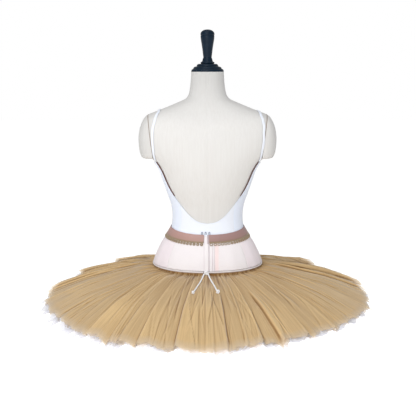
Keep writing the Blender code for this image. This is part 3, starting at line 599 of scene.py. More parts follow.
for name, profile, node in (("form_handle_lacquered", HANDLE_PROFILE, "form_handle"),
                            ("form_neck_cap_lacquered", CAP_PROFILE, "form_neck_cap")):
    mesh = bpy.data.meshes.new(name)
    mesh.from_pydata([(radius, 0.0, height) for height, radius in profile],
                     [(k, k + 1) for k in range(len(profile) - 1)], [])
    turned = place_mesh(name, mesh, lacquer)
    screw = turned.modifiers.new("turn", "SCREW")
    screw.steps = screw.render_steps = TURNED_SIDES
    screw.use_merge_vertices = True
    screw.merge_threshold = 0.00001
    screw.use_smooth_shade = True
    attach(turned, "root")
    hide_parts(node)

# ---- Bodice --------------------------------------------------------------------------------------
# White stretch jersey in six panels: one across the back, one at each side of the back, one at each
# side of the front, and one across the front. Its top edge is turned in and stitched, its foot is
# tucked under the waistband, and it is stretched smooth over the form.
SEAM = 0.0003
EASE = 0.0012
CLOTH = 0.0012
SEAM_TURN = 0.0015           # radians that a panel stops short of its seam
JERSEY_WALL = 0.0009
BODICE_RADIUS = 0.11         # mean, for distances round the bodice
LINES = {                    # height at the side, and dip at the centre back
    "band_top": (0.3030, 0.0145),
    "join": (0.2990, 0.0145),
    "satin_foot": (0.2806, 0.0130),
    "band_foot": (0.2770, 0.0130),
    "picot_foot": (0.2718, 0.0138),
    "basque_high": (0.2500, 0.0115),
    "basque_foot": (0.1945, 0.0052),
    "casing_middle": (0.1918, 0.0052),
    "net_top": (0.2060, 0.0080),
    "tulle_root": (0.1800, 0.0080),
    "heading_top": (0.1886, 0.0052),
}
BODICE_EDGE = np.array((          # degrees from the side (-90 is the centre back), height
    (-90.0, 0.3205), (-80.5, 0.3235), (-66.0, 0.3380), (-50.0, 0.3665), (-38.0, 0.3940),
    (-29.0, 0.4200), (-24.0, 0.4450), (-21.0, 0.4700), (-18.0, 0.5000), (-10.0, 0.4980),
    (0.0, 0.4960), (20.0, 0.5020), (40.0, 0.5160), (55.0, 0.5300), (70.0, 0.5100), (90.0, 0.4980),
))
BODICE_PANELS = (                 # name, first seam, last seam
    ("centre_back", -135.0, -45.0),
    ("side_back_right", -45.0, 0.0),
    ("side_front_right", 0.0, 52.5),
    ("centre_front", 52.5, 127.5),
    ("side_front_left", 127.5, 180.0),
    ("side_back_left", 180.0, 225.0),
)
BODICE_ROWS, BODICE_COLUMNS = 48, 1.1       # columns to a degree
HEM_ROWS = np.concatenate([[0.016, 0.011], np.linspace(0, 0.0075, 9)[::-1]])      # below the top edge
HEM_WIDTH, HEM_RISE = 0.0055, 0.0005
PINCH_WIDTH, PINCH_DEPTH = 0.0016, 0.0005
STITCH_SIDES = 6
STITCH_SWELL = (0.25, 0.9, 1.0, 0.9, 0.25)
read_edge = smooth_curve(BODICE_EDGE[:, 0], BODICE_EDGE[:, 1])


def line_height(line, angle):
    """Find the height of one of the garment's lines at an angle."""
    side_height, dip = LINES[line]
    return side_height - dip * np.maximum(0.0, -np.sin(angle)) ** 1.5


def bodice_top(angle):
    """Find the height of the bodice's top edge, which is alike on both sides."""
    degrees = np.degrees(np.arcsin(np.clip(np.sin(angle), -1, 1)))
    return read_edge(degrees)


def soft_step(value, low, high):
    """Rise smoothly from 0 at low to 1 at high."""
    t = np.clip((value - low) / (high - low), 0.0, 1.0)
    return t * t * (3 - 2 * t)


def form_normals(height, angle):
    """Find the directions square to the form's surface."""
    step = 0.0004
    upward = form_surface(height + step, angle) - form_surface(height - step, angle)
    sideways = form_surface(height, angle + step) - form_surface(height, angle - step)
    normal = np.cross(sideways, upward)
    return normal / np.linalg.norm(normal, axis=-1, keepdims=True)


def stitch_row(name, points, normals, material, long=0.0022, gap=0.0014, thick=0.0004):
    """Sew a row of short stitches along a line of points on the cloth: one joined mesh."""
    run = run_along(points)
    starts = np.arange(0.0, run[-1] - long, long + gap)
    verts, faces = [], []
    turn = np.linspace(0, 2 * np.pi, STITCH_SIDES, endpoint=False)[:, None]
    for start in starts:
        at = start + long * np.linspace(0, 1, len(STITCH_SWELL))
        line, out = read_at(at, run, points), read_at(at, run, normals)
        along = line[-1] - line[0]
        along /= np.linalg.norm(along)
        first = len(verts)
        for spot, up, swell in zip(line, out, STITCH_SWELL):
            beside = np.cross(along, up)
            ring = spot + thick / 2 * swell * (np.cos(turn) * beside + np.sin(turn) * up * 0.9)
            verts.extend(ring.tolist())
        for base in range(first, len(verts) - STITCH_SIDES, STITCH_SIDES):
            for n in range(STITCH_SIDES):
                after = (n + 1) % STITCH_SIDES
                faces.append((base + n, base + after, base + STITCH_SIDES + after, base + STITCH_SIDES + n))
        faces.append(tuple(first + n for n in reversed(range(STITCH_SIDES))))
        faces.append(tuple(range(len(verts) - STITCH_SIDES, len(verts))))
    mesh = bpy.data.meshes.new(name)
    mesh.from_pydata(verts, [], faces)
    mesh.shade_smooth()
    row = place_mesh(name, mesh, material)
    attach(row, "root")


def thicken(piece, wall):
    """Give a cloth shell its wall, outwards from its points."""
    shell = piece.modifiers.new("wall", "SOLIDIFY")
    shell.thickness = wall
    shell.offset = 1.0
    shell.use_even_offset = False


def jersey_like(name, light, shade):
    """Fine stretch knit: matt with a faint sheen, and tiny ribs down the wearer."""
    material, nodes, shader = new_material(name, light, 0.62, 0.35, sheen=0.25)
    shader.inputs["Sheen Roughness"].default_value = 0.4
    feed(shader.inputs["Base Color"], drift(nodes, light, shade, 0.06, 1.0))
    knit = place_group(nodes, thread_weave, Pitch=0.0007, Slub=0.1)
    bump_from(nodes, shader, knit.outputs["Height"], 0.00006, 0.5)
    return material


jersey = jersey_like("white jersey", (0.86, 0.90, 0.97), (0.81, 0.85, 0.95))
side_jersey = jersey_like("white jersey in the side panels", (0.82, 0.88, 0.99), (0.78, 0.845, 0.98))
thread = new_material("white sewing thread", (0.80, 0.84, 0.94), 0.6)[0]
for name, first, last in BODICE_PANELS:
    first_angle, last_angle = math.radians(first) + SEAM_TURN, math.radians(last) - SEAM_TURN
    columns = int((last - first) * BODICE_COLUMNS) + 2
    edge_share = 0.5 - 0.5 * np.cos(np.linspace(0, np.pi, columns))
    angles = first_angle + (last_angle - first_angle) * (0.6 * np.linspace(0, 1, columns) + 0.4 * edge_share)
    top, foot = bodice_top(angles), line_height("join", angles) + SEAM / 2
    share = np.linspace(0, 1, BODICE_ROWS)[:, None]
    rows = foot + (top - HEM_ROWS[0] - foot) * share
    hem_rows = top[None, :] - HEM_ROWS[1:, None]
    heights = np.concatenate([rows, hem_rows])
    normals = form_normals(heights, angles[None, :])
    grid = form_surface(heights, angles[None, :], EASE)
    from_edge = top[None, :] - heights
    turned_in = soft_step(-from_edge, -HEM_WIDTH, -HEM_WIDTH * 0.75)
    hem = HEM_RISE * turned_in * (1 - 0.6 * soft_step(-from_edge, -0.001, 0.0))
    arc = np.minimum(angles - first_angle, last_angle - angles) * BODICE_RADIUS
    pinch = -PINCH_DEPTH * np.exp(-(arc / PINCH_WIDTH) ** 2)[None, :] * soft_step(from_edge, 0.0, 0.004)
    grid = grid + normals * (hem + pinch)[..., None]
    panel = skin(f"bodice_{name}_jersey", grid, side_jersey if name.startswith("side_back") else jersey)
    thicken(panel, JERSEY_WALL)
    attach(panel, "root")
    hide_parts(f"bodice_{name}")
    sewn = form_surface(top - HEM_WIDTH * 0.86, angles, EASE + JERSEY_WALL + HEM_RISE * 0.7)
    stitch_row(f"bodice_{name}_hem_stitches", sewn, form_normals(top, angles), thread)

# The back scoop is edged with brown elastic from under the arm to the small of the back, and thin
# straps of doubled jersey run from the back corners over the shoulders to the front corners.
BINDING_WIDE, BINDING_NARROW, BINDING_WALL = 0.0070, 0.0024, 0.0008
BINDING_FROM, BINDING_TO = -18.4, -36.0
BINDING_SET_IN = SEAM * 4    # from the scoop's edge
STRAP_WIDTH, STRAP_WALL = 0.0078, 0.0014
RIBBON_ROWS, BINDING_POINTS, STRAP_POINTS = 9, 70, 160
STRAP_ROUTES = {                  # degrees and height of each strap, the wearer's left one first
    -1: np.array(((-19.5, 0.5030), (-31.0, 0.5350), (-35.0, 0.5650), (-37.3, 0.5930), (-39.0, 0.6220),
                  (-35.5, 0.6370), (-24.0, 0.6480), (0.0, 0.6530), (18.0, 0.6490), (33.0, 0.6400),
                  (44.0, 0.6190), (50.0, 0.5900), (53.0, 0.5600), (55.0, 0.5320))),
    1: np.array(((-19.5, 0.5030), (-30.0, 0.5350), (-33.0, 0.5650), (-35.0, 0.5930), (-35.0, 0.6220),
                 (-31.0, 0.6370), (-18.0, 0.6460), (0.0, 0.6500), (18.0, 0.6460), (33.0, 0.6370),
                 (44.0, 0.6180), (50.0, 0.5900), (53.0, 0.5600), (55.0, 0.5320))),
}


def lay_ribbon(name, heights, angles, near, far, lift, wall, crown, material):
    """Lay a strip of cloth on the form, along heights and angles, from near to far on its left."""
    normals = form_normals(heights, angles)
    line = form_surface(heights, angles) + normals * lift
    along = np.gradient(line, axis=0)
    sideways = np.cross(normals, along)
    sideways /= np.linalg.norm(sideways, axis=1, keepdims=True)
    share = np.linspace(0, 1, RIBBON_ROWS)
    across = near + (far - near) * share[:, None]
    dome = crown * (1 - (2 * share - 1) ** 4)
    grid = line[None] + across[..., None] * sideways[None] + dome[:, None, None] * normals[None]
    ribbon = skin(name, grid, material)
    thicken(ribbon, wall)
    return ribbon, grid


def ribbed_tape(name, base, roughness, specular, pitch, between, rib):
    """Close ribs across a narrow woven tape, each paler than what lies between them."""
    material, nodes, shader = new_material(name, base, roughness, specular)
    weave = place_group(nodes, thread_weave, Pitch=pitch, Slub=0.1)
    feed(shader.inputs["Base Color"], mix_colours(nodes, weave.outputs["Thread"], between, rib))
    bump_from(nodes, shader, weave.outputs["Height"], 0.0002, 0.6)
    return material


elastic = ribbed_tape("brown elastic", (0.16, 0.075, 0.06), 0.7, 0.3, 0.0009, (0.085, 0.030, 0.023, 1),
                      (0.155, 0.066, 0.052, 1))
for side, side_name in ((-1, "left"), (1, "right")):
    degrees = np.linspace(BINDING_TO, BINDING_FROM, BINDING_POINTS)
    heights = bodice_top(np.radians(degrees))
    angles = np.radians(degrees if side > 0 else -180 - degrees)
    widths = np.linspace(BINDING_NARROW, BINDING_WIDE, len(degrees))
    if side < 0:
        heights, angles, widths = heights[::-1], angles[::-1], widths[::-1]
    binding, grid = lay_ribbon(f"neck_binding_{side_name}_elastic", heights, angles, BINDING_SET_IN,
                               BINDING_SET_IN + widths, EASE, BINDING_WALL, 0.0002, elastic)
    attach(binding, "root")
    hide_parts(f"neck_binding_{side_name}")

    route = STRAP_ROUTES[side]
    route_steps = np.arange(len(route))
    places = np.linspace(0, route_steps[-1], STRAP_POINTS)
    degrees = smooth_curve(route_steps, route[:, 0])(places)
    heights = smooth_curve(route_steps, route[:, 1])(places)
    angles = np.radians(degrees if side > 0 else -180 - degrees)
    half_widths = np.full(len(degrees), STRAP_WIDTH / 2)
    strap, grid = lay_ribbon(f"strap_{side_name}_jersey", heights, angles, -STRAP_WIDTH / 2, half_widths,
                             EASE, STRAP_WALL * 0.6, STRAP_WALL * 0.4, jersey)
    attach(strap, "root")
    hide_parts(f"strap_{side_name}")

# ---- Waistband -----------------------------------------------------------------------------------
# Wide satin elastic in a rosy brown, woven with an olive edge of picot loops along its foot. It goes
# once round the waist over the bodice and the basque, and stops short at the centre back, where its
# right end is bound with lilac grey tape. Three steel eyes stand at its top edge between the ends.
BAND_GAP_LEFT, BAND_GAP_RIGHT = -0.0098, 0.0042
BAND_END_WIDTH = 0.0042
BAND_WALL = 0.0014
BAND_ROWS, BAND_COLUMNS = 14, 420
TAPE_ROWS, TAPE_COLUMNS, TAPE_TURN, TAPE_ROLL = 24, 9, 0.002, 0.0006
FLARE = 0.0123               # how much farther the basque's foot stands off the form than its top
PICOT_PITCH = 0.0089
WAIST_RADIUS = 0.1115        # mean, for distances round the band


def back_angle(across, height):
    """Find the angle at the back of a point that lies across from the middle at a height."""
    share = (abs(across) / float(form_sizes[0](height))) ** (ROUNDNESS / 2)
    return -math.acos(math.copysign(share, across))


def basque_outward(height, angle):
    """Say how far the basque's inner side stands off the form."""
    join, foot = line_height("join", angle), line_height("basque_foot", angle)
    return EASE + FLARE * np.clip((join - height) / (join - foot), 0.0, 1.0)


def wrap_grid(first, last, low, high, rows, columns, past=0.0):
    """Find points of a strip round the basque, between two angles and two lines, or past them."""
    angles = np.linspace(first, last, columns)
    share = np.linspace(0, 1, rows)[:, None]
    low, high = line_height(low, angles) - past, line_height(high, angles) + past
    heights = low + (high - low) * share
    outward = basque_outward(heights, angles[None, :]) + CLOTH + SEAM
    return form_surface(heights, angles[None, :], outward), heights, angles


band_back = LINES["band_top"][0] - LINES["band_top"][1]
band_start = back_angle(BAND_GAP_RIGHT, band_back)
band_finish = back_angle(BAND_GAP_LEFT, band_back) + 2 * math.pi
end_start = back_angle(BAND_GAP_RIGHT - BAND_END_WIDTH, band_back)

SATIN_DEEP = 0.026           # the satin's own depth on its map
satin, nodes, shader = new_material("rose brown satin elastic", (0.42, 0.26, 0.22), 0.42, 0.5, sheen=0.35)
shader.inputs["Sheen Roughness"].default_value = 0.3
place = read_place(nodes, "UV")
up_the_band = fade(nodes, split_place(nodes, place)["Y"], 0.0, SATIN_DEEP)
tone = ramp(nodes, up_the_band, (0.0, (0.30, 0.215, 0.145)), (0.22, (0.473, 0.286, 0.242)),
            (0.90, (0.506, 0.308, 0.275)), (1.0, (0.424, 0.237, 0.204)))
tone = mix_colours(nodes, 1.0, tone, drift(nodes, (1, 1, 1), (0.86, 0.86, 0.88), 0.09, 1.5), "MULTIPLY")
# The band's right half, with the taped end, is painted darker and bluer: painted shade, for the satin's sheen
# falling off on that side
painted_shade_on_right = fade(nodes, split_place(nodes, read_place(nodes, "Object"))["X"], -0.01, 0.01)
feed(shader.inputs["Base Color"], mix_colours(nodes, painted_shade_on_right, tone, (0.80, 0.80, 0.84, 1), "MULTIPLY"))
satin_ribs = add_node(nodes, "ShaderNodeTexWave", wave_type="BANDS", bands_direction="X", scale=160.0,
                      distortion=0.6, vector=place)
bump_from(nodes, shader, satin_ribs.outputs["Fac"], 0.00012, 0.5)

grid, heights, angles = wrap_grid(band_start, band_finish, "satin_foot", "band_top", BAND_ROWS, BAND_COLUMNS)
share = np.linspace(0, 1, BAND_ROWS)[:, None]
ripple = 0.00025 * np.sin(37 * angles)[None, :] * np.sin(np.pi * share)
ripple = ripple + 0.0004 * np.sin(9 * angles + 1.0)[None, :] * share
swell = 0.0006 * np.sin(np.pi * share) ** 0.5
normals = form_normals(heights, angles[None, :])
grid = grid + normals * (np.abs(ripple) + swell)[..., None]
band = skin("waistband_satin_elastic", grid, satin)
thicken(band, BAND_WALL)
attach(band, "root")
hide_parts("waistband_satin")

olive, nodes, shader = new_material("olive picot yarn", (0.28, 0.22, 0.14), 0.7, 0.3, sheen=0.3)
feed(shader.inputs["Base Color"], drift(nodes, (0.37, 0.275, 0.175), (0.25, 0.18, 0.11), 0.006, 1.6))
bump_from(nodes, shader, noise(nodes, 1800.0, 2.0), 0.0002, 0.6)


def join_grids(name, grids, material):
    """Skin several closed grids as one joined mesh."""
    bm = bmesh.new()
    for number, grid in enumerate(grids):
        part = skin(f"{name}_{number}", grid, material, closed=True, caps=True)
        mesh = part.data
        bm.from_mesh(mesh)
        bpy.data.objects.remove(part)
        bpy.data.meshes.remove(mesh)
    mesh = bpy.data.meshes.new(name)
    bm.to_mesh(mesh)
    bm.free()
    return place_mesh(name, mesh, material)


# The picots: a row of round loops of flat yarn under a narrow heading. Their holes are open near the
# right end, where the elastic was cut, and half closed by the yarn elsewhere
PICOT_HIGH = 0.0092          # from a picot's foot to its top
OPEN_FROM, OPEN_TO = 0.004, 0.062        # across from the middle, where the holes are wide
PICOT_MIDDLE = 0.27
YARN_OPEN, YARN_CLOSED = 0.0026, 0.0037
YARN_SIDES, YARN_FLAT = 8, 0.62
HEADING_HALF, HEADING_LIFT, HEADING_WALL = 0.0016, 0.0006, 0.0011
picot_count = int(round((band_finish - band_start) * WAIST_RADIUS / PICOT_PITCH))
turn = np.linspace(0, 2 * np.pi, 33)[:-1]
loops = []
edges = np.linspace(band_start, band_finish, picot_count + 1)
for first, last in zip(edges, edges[1:]):
    middle_angle = (first + last) / 2
    x, y = form_surface(PICOT_MIDDLE, middle_angle)[:2]
    yarn = YARN_OPEN if y < 0 and OPEN_FROM < x < OPEN_TO else YARN_CLOSED
    half_turn = (last - first) * 0.5 - yarn * 0.60 / WAIST_RADIUS
    ring_angles = middle_angle + half_turn * np.cos(turn)
    half_high = (PICOT_HIGH - yarn) / 2
    ring_heights = line_height("picot_foot", ring_angles) + yarn / 2 + half_high * (1 - np.sin(turn))
    lift = basque_outward(ring_heights, ring_angles) + CLOTH + SEAM + yarn * 0.32
    line = form_surface(ring_heights, ring_angles, lift)
    radii = np.full((len(line), YARN_SIDES), yarn / 2)
    radii = radii * (1 + 0.10 * np.sin(7 * turn + 30 * middle_angle))[:, None]
    loops.append(sweep(line, radii, YARN_SIDES, flat=YARN_FLAT, looped=True))
heading, _, angles = wrap_grid(band_start, band_finish, "satin_foot", "satin_foot", 5, 400, past=HEADING_HALF)
heading += form_normals(PICOT_MIDDLE, angles)[None] * HEADING_LIFT
picots = join_grids("waistband_picot_loops", loops, olive)
picots.data.shade_smooth()
heading_strip = skin("waistband_picot_heading", heading, olive)
thicken(heading_strip, HEADING_WALL)
for piece in (picots, heading_strip):
    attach(piece, "root")
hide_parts("waistband_picots")

tape = ribbed_tape("lilac grey tape", (0.42, 0.38, 0.44), 0.6, 0.4, 0.0011, (0.30, 0.22, 0.23, 1),
                   (0.58, 0.48, 0.50, 1))
grid, heights, angles = wrap_grid(end_start + TAPE_TURN, band_start - TAPE_TURN, "band_foot", "band_top",
                                  TAPE_ROWS, TAPE_COLUMNS)
roll = TAPE_ROLL * np.sin(np.linspace(0, np.pi, TAPE_COLUMNS)) ** 0.5
grid = grid + form_normals(heights, angles[None, :]) * roll[None, :, None]
end_binding = skin("waistband_end_tape", grid, tape)
thicken(end_binding, BAND_WALL)
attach(end_binding, "root")
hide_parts("waistband_end_binding")

# Three eyes of blue grey steel wire, each a narrow loop with its foot under the band
HOOK_PLACES = (-0.0160, -0.0055, 0.0055)
HOOK_WIDTH, HOOK_HEIGHT, HOOK_WIRE, HOOK_SIDES = 0.0050, 0.0084, 0.0013, 12
steel, nodes, shader = new_material("blue grey steel wire", (0.06, 0.11, 0.22), 0.4)
shader.inputs["Metallic"].default_value = 0.6
feed(shader.inputs["Roughness"], fade(nodes, noise(nodes, 3000.0, 2.0), low=0.25, high=0.45))
for number, across in enumerate(HOOK_PLACES, 1):
    angle = back_angle(across, band_back)
    foot = line_height("band_top", angle) + SEAM + HOOK_WIRE / 2
    off = EASE + CLOTH + SEAM + HOOK_WIRE / 2
    behind, above = (form_surface(height, angle, off) for height in (foot, foot + HOOK_HEIGHT))
    half = HOOK_WIDTH / 2 - HOOK_WIRE / 2
    straight = (HOOK_HEIGHT - HOOK_WIRE - half) / HOOK_HEIGHT
    turn = np.linspace(np.pi, 0, 17)
    bend = straight + half * np.sin(turn) / HOOK_HEIGHT
    rise = np.concatenate([[0.0, straight / 2], bend, [straight / 2, 0.0]])
    aside = np.concatenate([[-half, -half], half * np.cos(turn), [half, half]])
    line = behind + (above - behind) * rise[:, None] + np.array((1.0, 0.0, 0.0)) * aside[:, None]
    wire = sweep(line, np.full((len(line), HOOK_SIDES), HOOK_WIRE / 2), HOOK_SIDES)
    eye = skin(f"waist_eye_{number}", wire, steel, closed=True, caps=True)
    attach(eye, "root")
    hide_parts(f"waist_hook_{number}")

# ---- Basque --------------------------------------------------------------------------------------
# A flared hip piece in five panels of pale pink cotton net over cotton, seamed at the back, the sides
# and the front. It is slit at the centre back, where a placket strip is folded over the right edge,
# and its foot is turned up, stitched with lilac thread and finished with a rolled cord casing.
SLIT = 0.0042
PLACKET_TO = 0.0180
PLACKET_WALL = 0.0009
FACING_FROM, FACING_TO = 0.0215, 0.0350      # the facing that shows through, across from the middle
CASING_ACROSS = 0.0042
CASING_GAP_LEFT, CASING_GAP_RIGHT = -0.0112, 0.0032
FOOT_STITCHES = 0.0024       # above the foot
BASQUE_RADIUS = 0.14         # mean, for distances round the basque
BASQUE_ROWS, BASQUE_COLUMNS = 40, 1.4        # columns to a degree
PLACKET_ROWS, PLACKET_COLUMNS = 60, 40
CASING_POINTS, CASING_SIDES = 700, 14
# Each a place across from the middle, a half width, and a strength or a height
SLIT_AND_FOLD_SHADE_LINES = ((-0.0099, 0.0016, 0.35), (0.0052, 0.0013, 0.9), (0.0143, 0.0012, 0.8), (0.0200, 0.0014, 0.6))
FOLDS = ((0.0200, 0.0014, 0.0006), (0.0330, 0.0022, 0.0005), (-0.0060, 0.0022, 0.0004))
PLEATS = ((0.10, 0.07, 0.0005), (0.58, 0.07, 0.0009), (0.90, 0.06, 0.0008))  # in shares of the placket
BASQUE_HIGH_BACK = LINES["basque_high"][0] - LINES["basque_high"][1]
slit_angle = back_angle(SLIT, BASQUE_HIGH_BACK)
BASQUE_PANELS = (                 # name, first seam, last seam
    ("back_right", math.degrees(slit_angle), -45.0),
    ("side_right", -45.0, 45.0),
    ("front", 45.0, 135.0),
    ("side_left", 135.0, 225.0),
    ("back_left", 225.0, 360.0 + math.degrees(slit_angle)),
)


def net_over_cotton(name, light, shade, blush):
    """Fine net over plain cotton: matt and pale, pinker where the facing lies behind, and darker along the
    slit and the placket's folds: painted shade, together with the turned edge's doubled cloth.
    """
    material, nodes, shader = new_material(name, light, 0.8, 0.25, sheen=0.2)
    net = place_group(nodes, thread_weave, Pitch=0.0013, Slub=0.15)
    tone = mix_colours(nodes, read_mark(nodes, "facing"), drift(nodes, light, shade, 0.045, 1.3), (*blush, 1))
    # Painted shade along the slit and the placket's folds, partly the doubled cloth there
    tone = mix_colours(nodes, read_mark(nodes, "slit_and_fold_shade"), tone, (0.70, 0.64, 0.66, 1), "MULTIPLY")
    tone = mix_colours(nodes, net.outputs["Thread"], tone, (0.965, 0.95, 0.965, 1), "MULTIPLY")
    feed(shader.inputs["Base Color"], tone)
    bump_from(nodes, shader, net.outputs["Height"], 0.00008, 0.5)
    return material


# The side panels are the same net, painted darker and mauver: painted shade, as they turn from the light
pink_net = net_over_cotton("pale pink net over cotton", (0.92, 0.885, 0.89), (0.88, 0.845, 0.855),
                           (0.93, 0.79, 0.78))
shaded_side_net = net_over_cotton("pale pink net at the sides, in painted shade", (0.92, 0.85, 0.87), (0.88, 0.81, 0.85),
                           (0.92, 0.78, 0.80))
lilac_thread = new_material("lilac sewing thread", (0.50, 0.44, 0.62), 0.6)[0]


def ridges(x, table):
    """Add up rounded ridges along x: the place, half width and height of each."""
    return sum(height * np.exp(-((x - place) / width) ** 2) for place, width, height in table)


def add_facing(piece, grid):
    """Mark, as shares for each point, where the facing behind the right back edge shows through, and the
    painted shade along the slit and the folds where a turned edge doubles the cloth.
    """
    x, y = grid[..., 0], grid[..., 1]
    share = soft_step(x, FACING_FROM - 0.002, FACING_FROM + 0.002)
    share = share * (1 - soft_step(x, FACING_TO - 0.004, FACING_TO))
    add_mark(piece, "facing", np.where(y < 0, share, 0.0))
    add_mark(piece, "slit_and_fold_shade", np.where(y < 0, ridges(x, SLIT_AND_FOLD_SHADE_LINES), 0.0))


for name, first, last in BASQUE_PANELS:
    first_angle, last_angle = math.radians(first) + SEAM_TURN, math.radians(last) - SEAM_TURN
    columns = int((last - first) * BASQUE_COLUMNS)
    angles = np.linspace(first_angle, last_angle, columns)
    share = np.linspace(0, 1, BASQUE_ROWS)[:, None]
    foot, join = line_height("basque_foot", angles), line_height("join", angles) - SEAM / 2
    heights = foot + (join - foot) * share
    grid = form_surface(heights, angles[None, :], basque_outward(heights, angles[None, :]))
    normals = form_normals(heights, angles[None, :])
    free = soft_step(line_height("picot_foot", angles)[None, :] - heights, 0.0, 0.02)
    flute = (0.0010 * np.sin(11 * angles + 0.7) + 0.0007 * np.sin(23 * angles + 2.0))[None, :] + 0.0 * heights
    flute = (flute + 0.0016) * 0.5 * free
    from_foot = heights - foot[None, :]
    hem = 0.0004 * (1 - soft_step(from_foot, 0.0035, 0.005))
    arc = np.minimum(angles - first_angle, last_angle - angles) * BASQUE_RADIUS
    pinch = -0.0005 * np.exp(-(arc / 0.0018) ** 2)[None, :]
    at_back = np.where(grid[..., 1] < 0, 1.0, 0.0)
    fold = ridges(grid[..., 0], FOLDS) * at_back * free
    grid = grid + normals * (flute + hem + pinch + fold)[..., None]
    panel = skin(f"basque_{name}_net", grid, shaded_side_net if name.startswith("side") else pink_net)
    add_facing(panel, grid)
    thicken(panel, CLOTH)
    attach(panel, "root")
    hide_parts(f"basque_{name}")
    at_height = foot + FOOT_STITCHES
    sewn = form_surface(at_height, angles, basque_outward(at_height, angles) + CLOTH + 0.0007)
    stitch_row(f"basque_{name}_foot_stitches", sewn, form_normals(at_height, angles), lilac_thread,
               long=0.0026, gap=0.0010, thick=0.0005)

placket_angle = back_angle(PLACKET_TO, BASQUE_HIGH_BACK)
angles = np.linspace(slit_angle + SEAM_TURN, placket_angle - SEAM_TURN, PLACKET_COLUMNS)
share = np.linspace(0, 1, PLACKET_ROWS)[:, None]
foot, top = line_height("basque_foot", angles), line_height("picot_foot", angles) - 2 * SEAM
heights = foot + (top - foot) * share
grid = form_surface(heights, angles[None, :], basque_outward(heights, angles[None, :]) + CLOTH + SEAM)
pleat = ridges(np.linspace(0, 1, PLACKET_COLUMNS), PLEATS)
grid = grid + form_normals(heights, angles[None, :]) * pleat[None, :, None]
placket = skin("basque_placket_strip", grid, pink_net)
add_facing(placket, grid)
thicken(placket, PLACKET_WALL)
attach(placket, "root")
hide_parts("basque_placket")
for edge, column in (("slit", 2), ("outer", PLACKET_COLUMNS - 5)):
    normals = form_normals(heights[:, column], angles[column])
    stitch_row(f"basque_placket_{edge}_stitches", grid[:, column] + normals * PLACKET_WALL, normals, thread,
               long=0.0026, gap=0.0012)

# The casing: a bias strip rolled round a cord, a little puckered between its stitches
casing_back = LINES["basque_foot"][0] - LINES["basque_foot"][1]
casing_start = back_angle(CASING_GAP_RIGHT, casing_back)
casing_finish = back_angle(CASING_GAP_LEFT, casing_back) + 2 * math.pi
angles = np.linspace(casing_start, casing_finish, CASING_POINTS)
line = form_surface(line_height("casing_middle", angles), angles, EASE + FLARE + CLOTH / 2)
pucker = 1 + 0.035 * np.sin(angles * 190) + 0.03 * np.sin(angles * 57 + 1.0)
rings = sweep(line, CASING_ACROSS / 2 * pucker[:, None] * np.ones((1, CASING_SIDES)), CASING_SIDES)
casing = skin("cord_casing_rolled", rings, pink_net, closed=True, caps=True)
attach(casing, "root")
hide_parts("cord_casing")

# ---- Net base ------------------------------------------------------------------------------------
# A close tube of stiff net under the basque, which every layer of tulle is gathered onto.
BASE_NET_WALL = 0.0010
BASE_NET_FOOT = 0.1230
BASE_NET_OFF = EASE + FLARE * 0.87 - 0.0012 - 3 * SEAM
ROOT_GAP = 0.0005
angles = np.linspace(-np.pi, np.pi, 241)[:-1]
share = np.linspace(0, 1, 10)[:, None]
heights = BASE_NET_FOOT + (line_height("net_top", angles) - BASE_NET_FOOT) * share
grid = form_surface(heights, angles[None, :], BASE_NET_OFF)
net_tube = skin("net_base_tube", grid, pink_net, closed=True)
thicken(net_tube, BASE_NET_WALL)
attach(net_tube, "root")
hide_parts("net_base")

# ---- Tulle ---------------------------------------------------------------------------------------
# Five layers of stiff tulle, gathered onto the net base one below the other: two of gold, then white,
# gold and white. They stand out nearly level in a low dome, are pleated and creased by their own
# stiffness, and end in raw edges cut by hand, the white a little longer than the gold.
ROOT_STEP = 0.0090           # from one layer's root down to the next
ROOT_OFF = BASE_NET_OFF + CLOTH + ROOT_GAP
RIM_ACROSS, RIM_DEEP = 0.4850, 0.4660
RIM_HEIGHT, RIM_STEP = 0.1000, 0.0045
TILT_BACK, TILT_FRONT = 0.0240, 0.0310       # how far the rim drops at the back and rises in front
ROOT_RADIUS = 0.142
# How far the dome stands above a straight line from root to rim; at the centre back the skirt falls
# straight from the basque
PUFF_REACH = (0.0, 0.02, 0.05, 0.10, 0.16, 0.35, 0.58, 0.80, 1.0)
PUFF = (0.0, 0.0012, 0.0075, 0.0165, 0.0225, 0.0262, 0.0250, 0.0085, -0.014)
BACK_PUFF = (0.0, 0.0012, 0.0055, 0.0095, 0.0134, 0.0252, 0.0250, 0.0085, -0.014)
read_puff, read_back_puff = smooth_curve(PUFF_REACH, PUFF), smooth_curve(PUFF_REACH, BACK_PUFF)
BACK_SPREAD = 20.0           # degrees to each side that the straight fall reaches
PUFF_AT_SIDE, PUFF_TILT = 0.44, -0.31
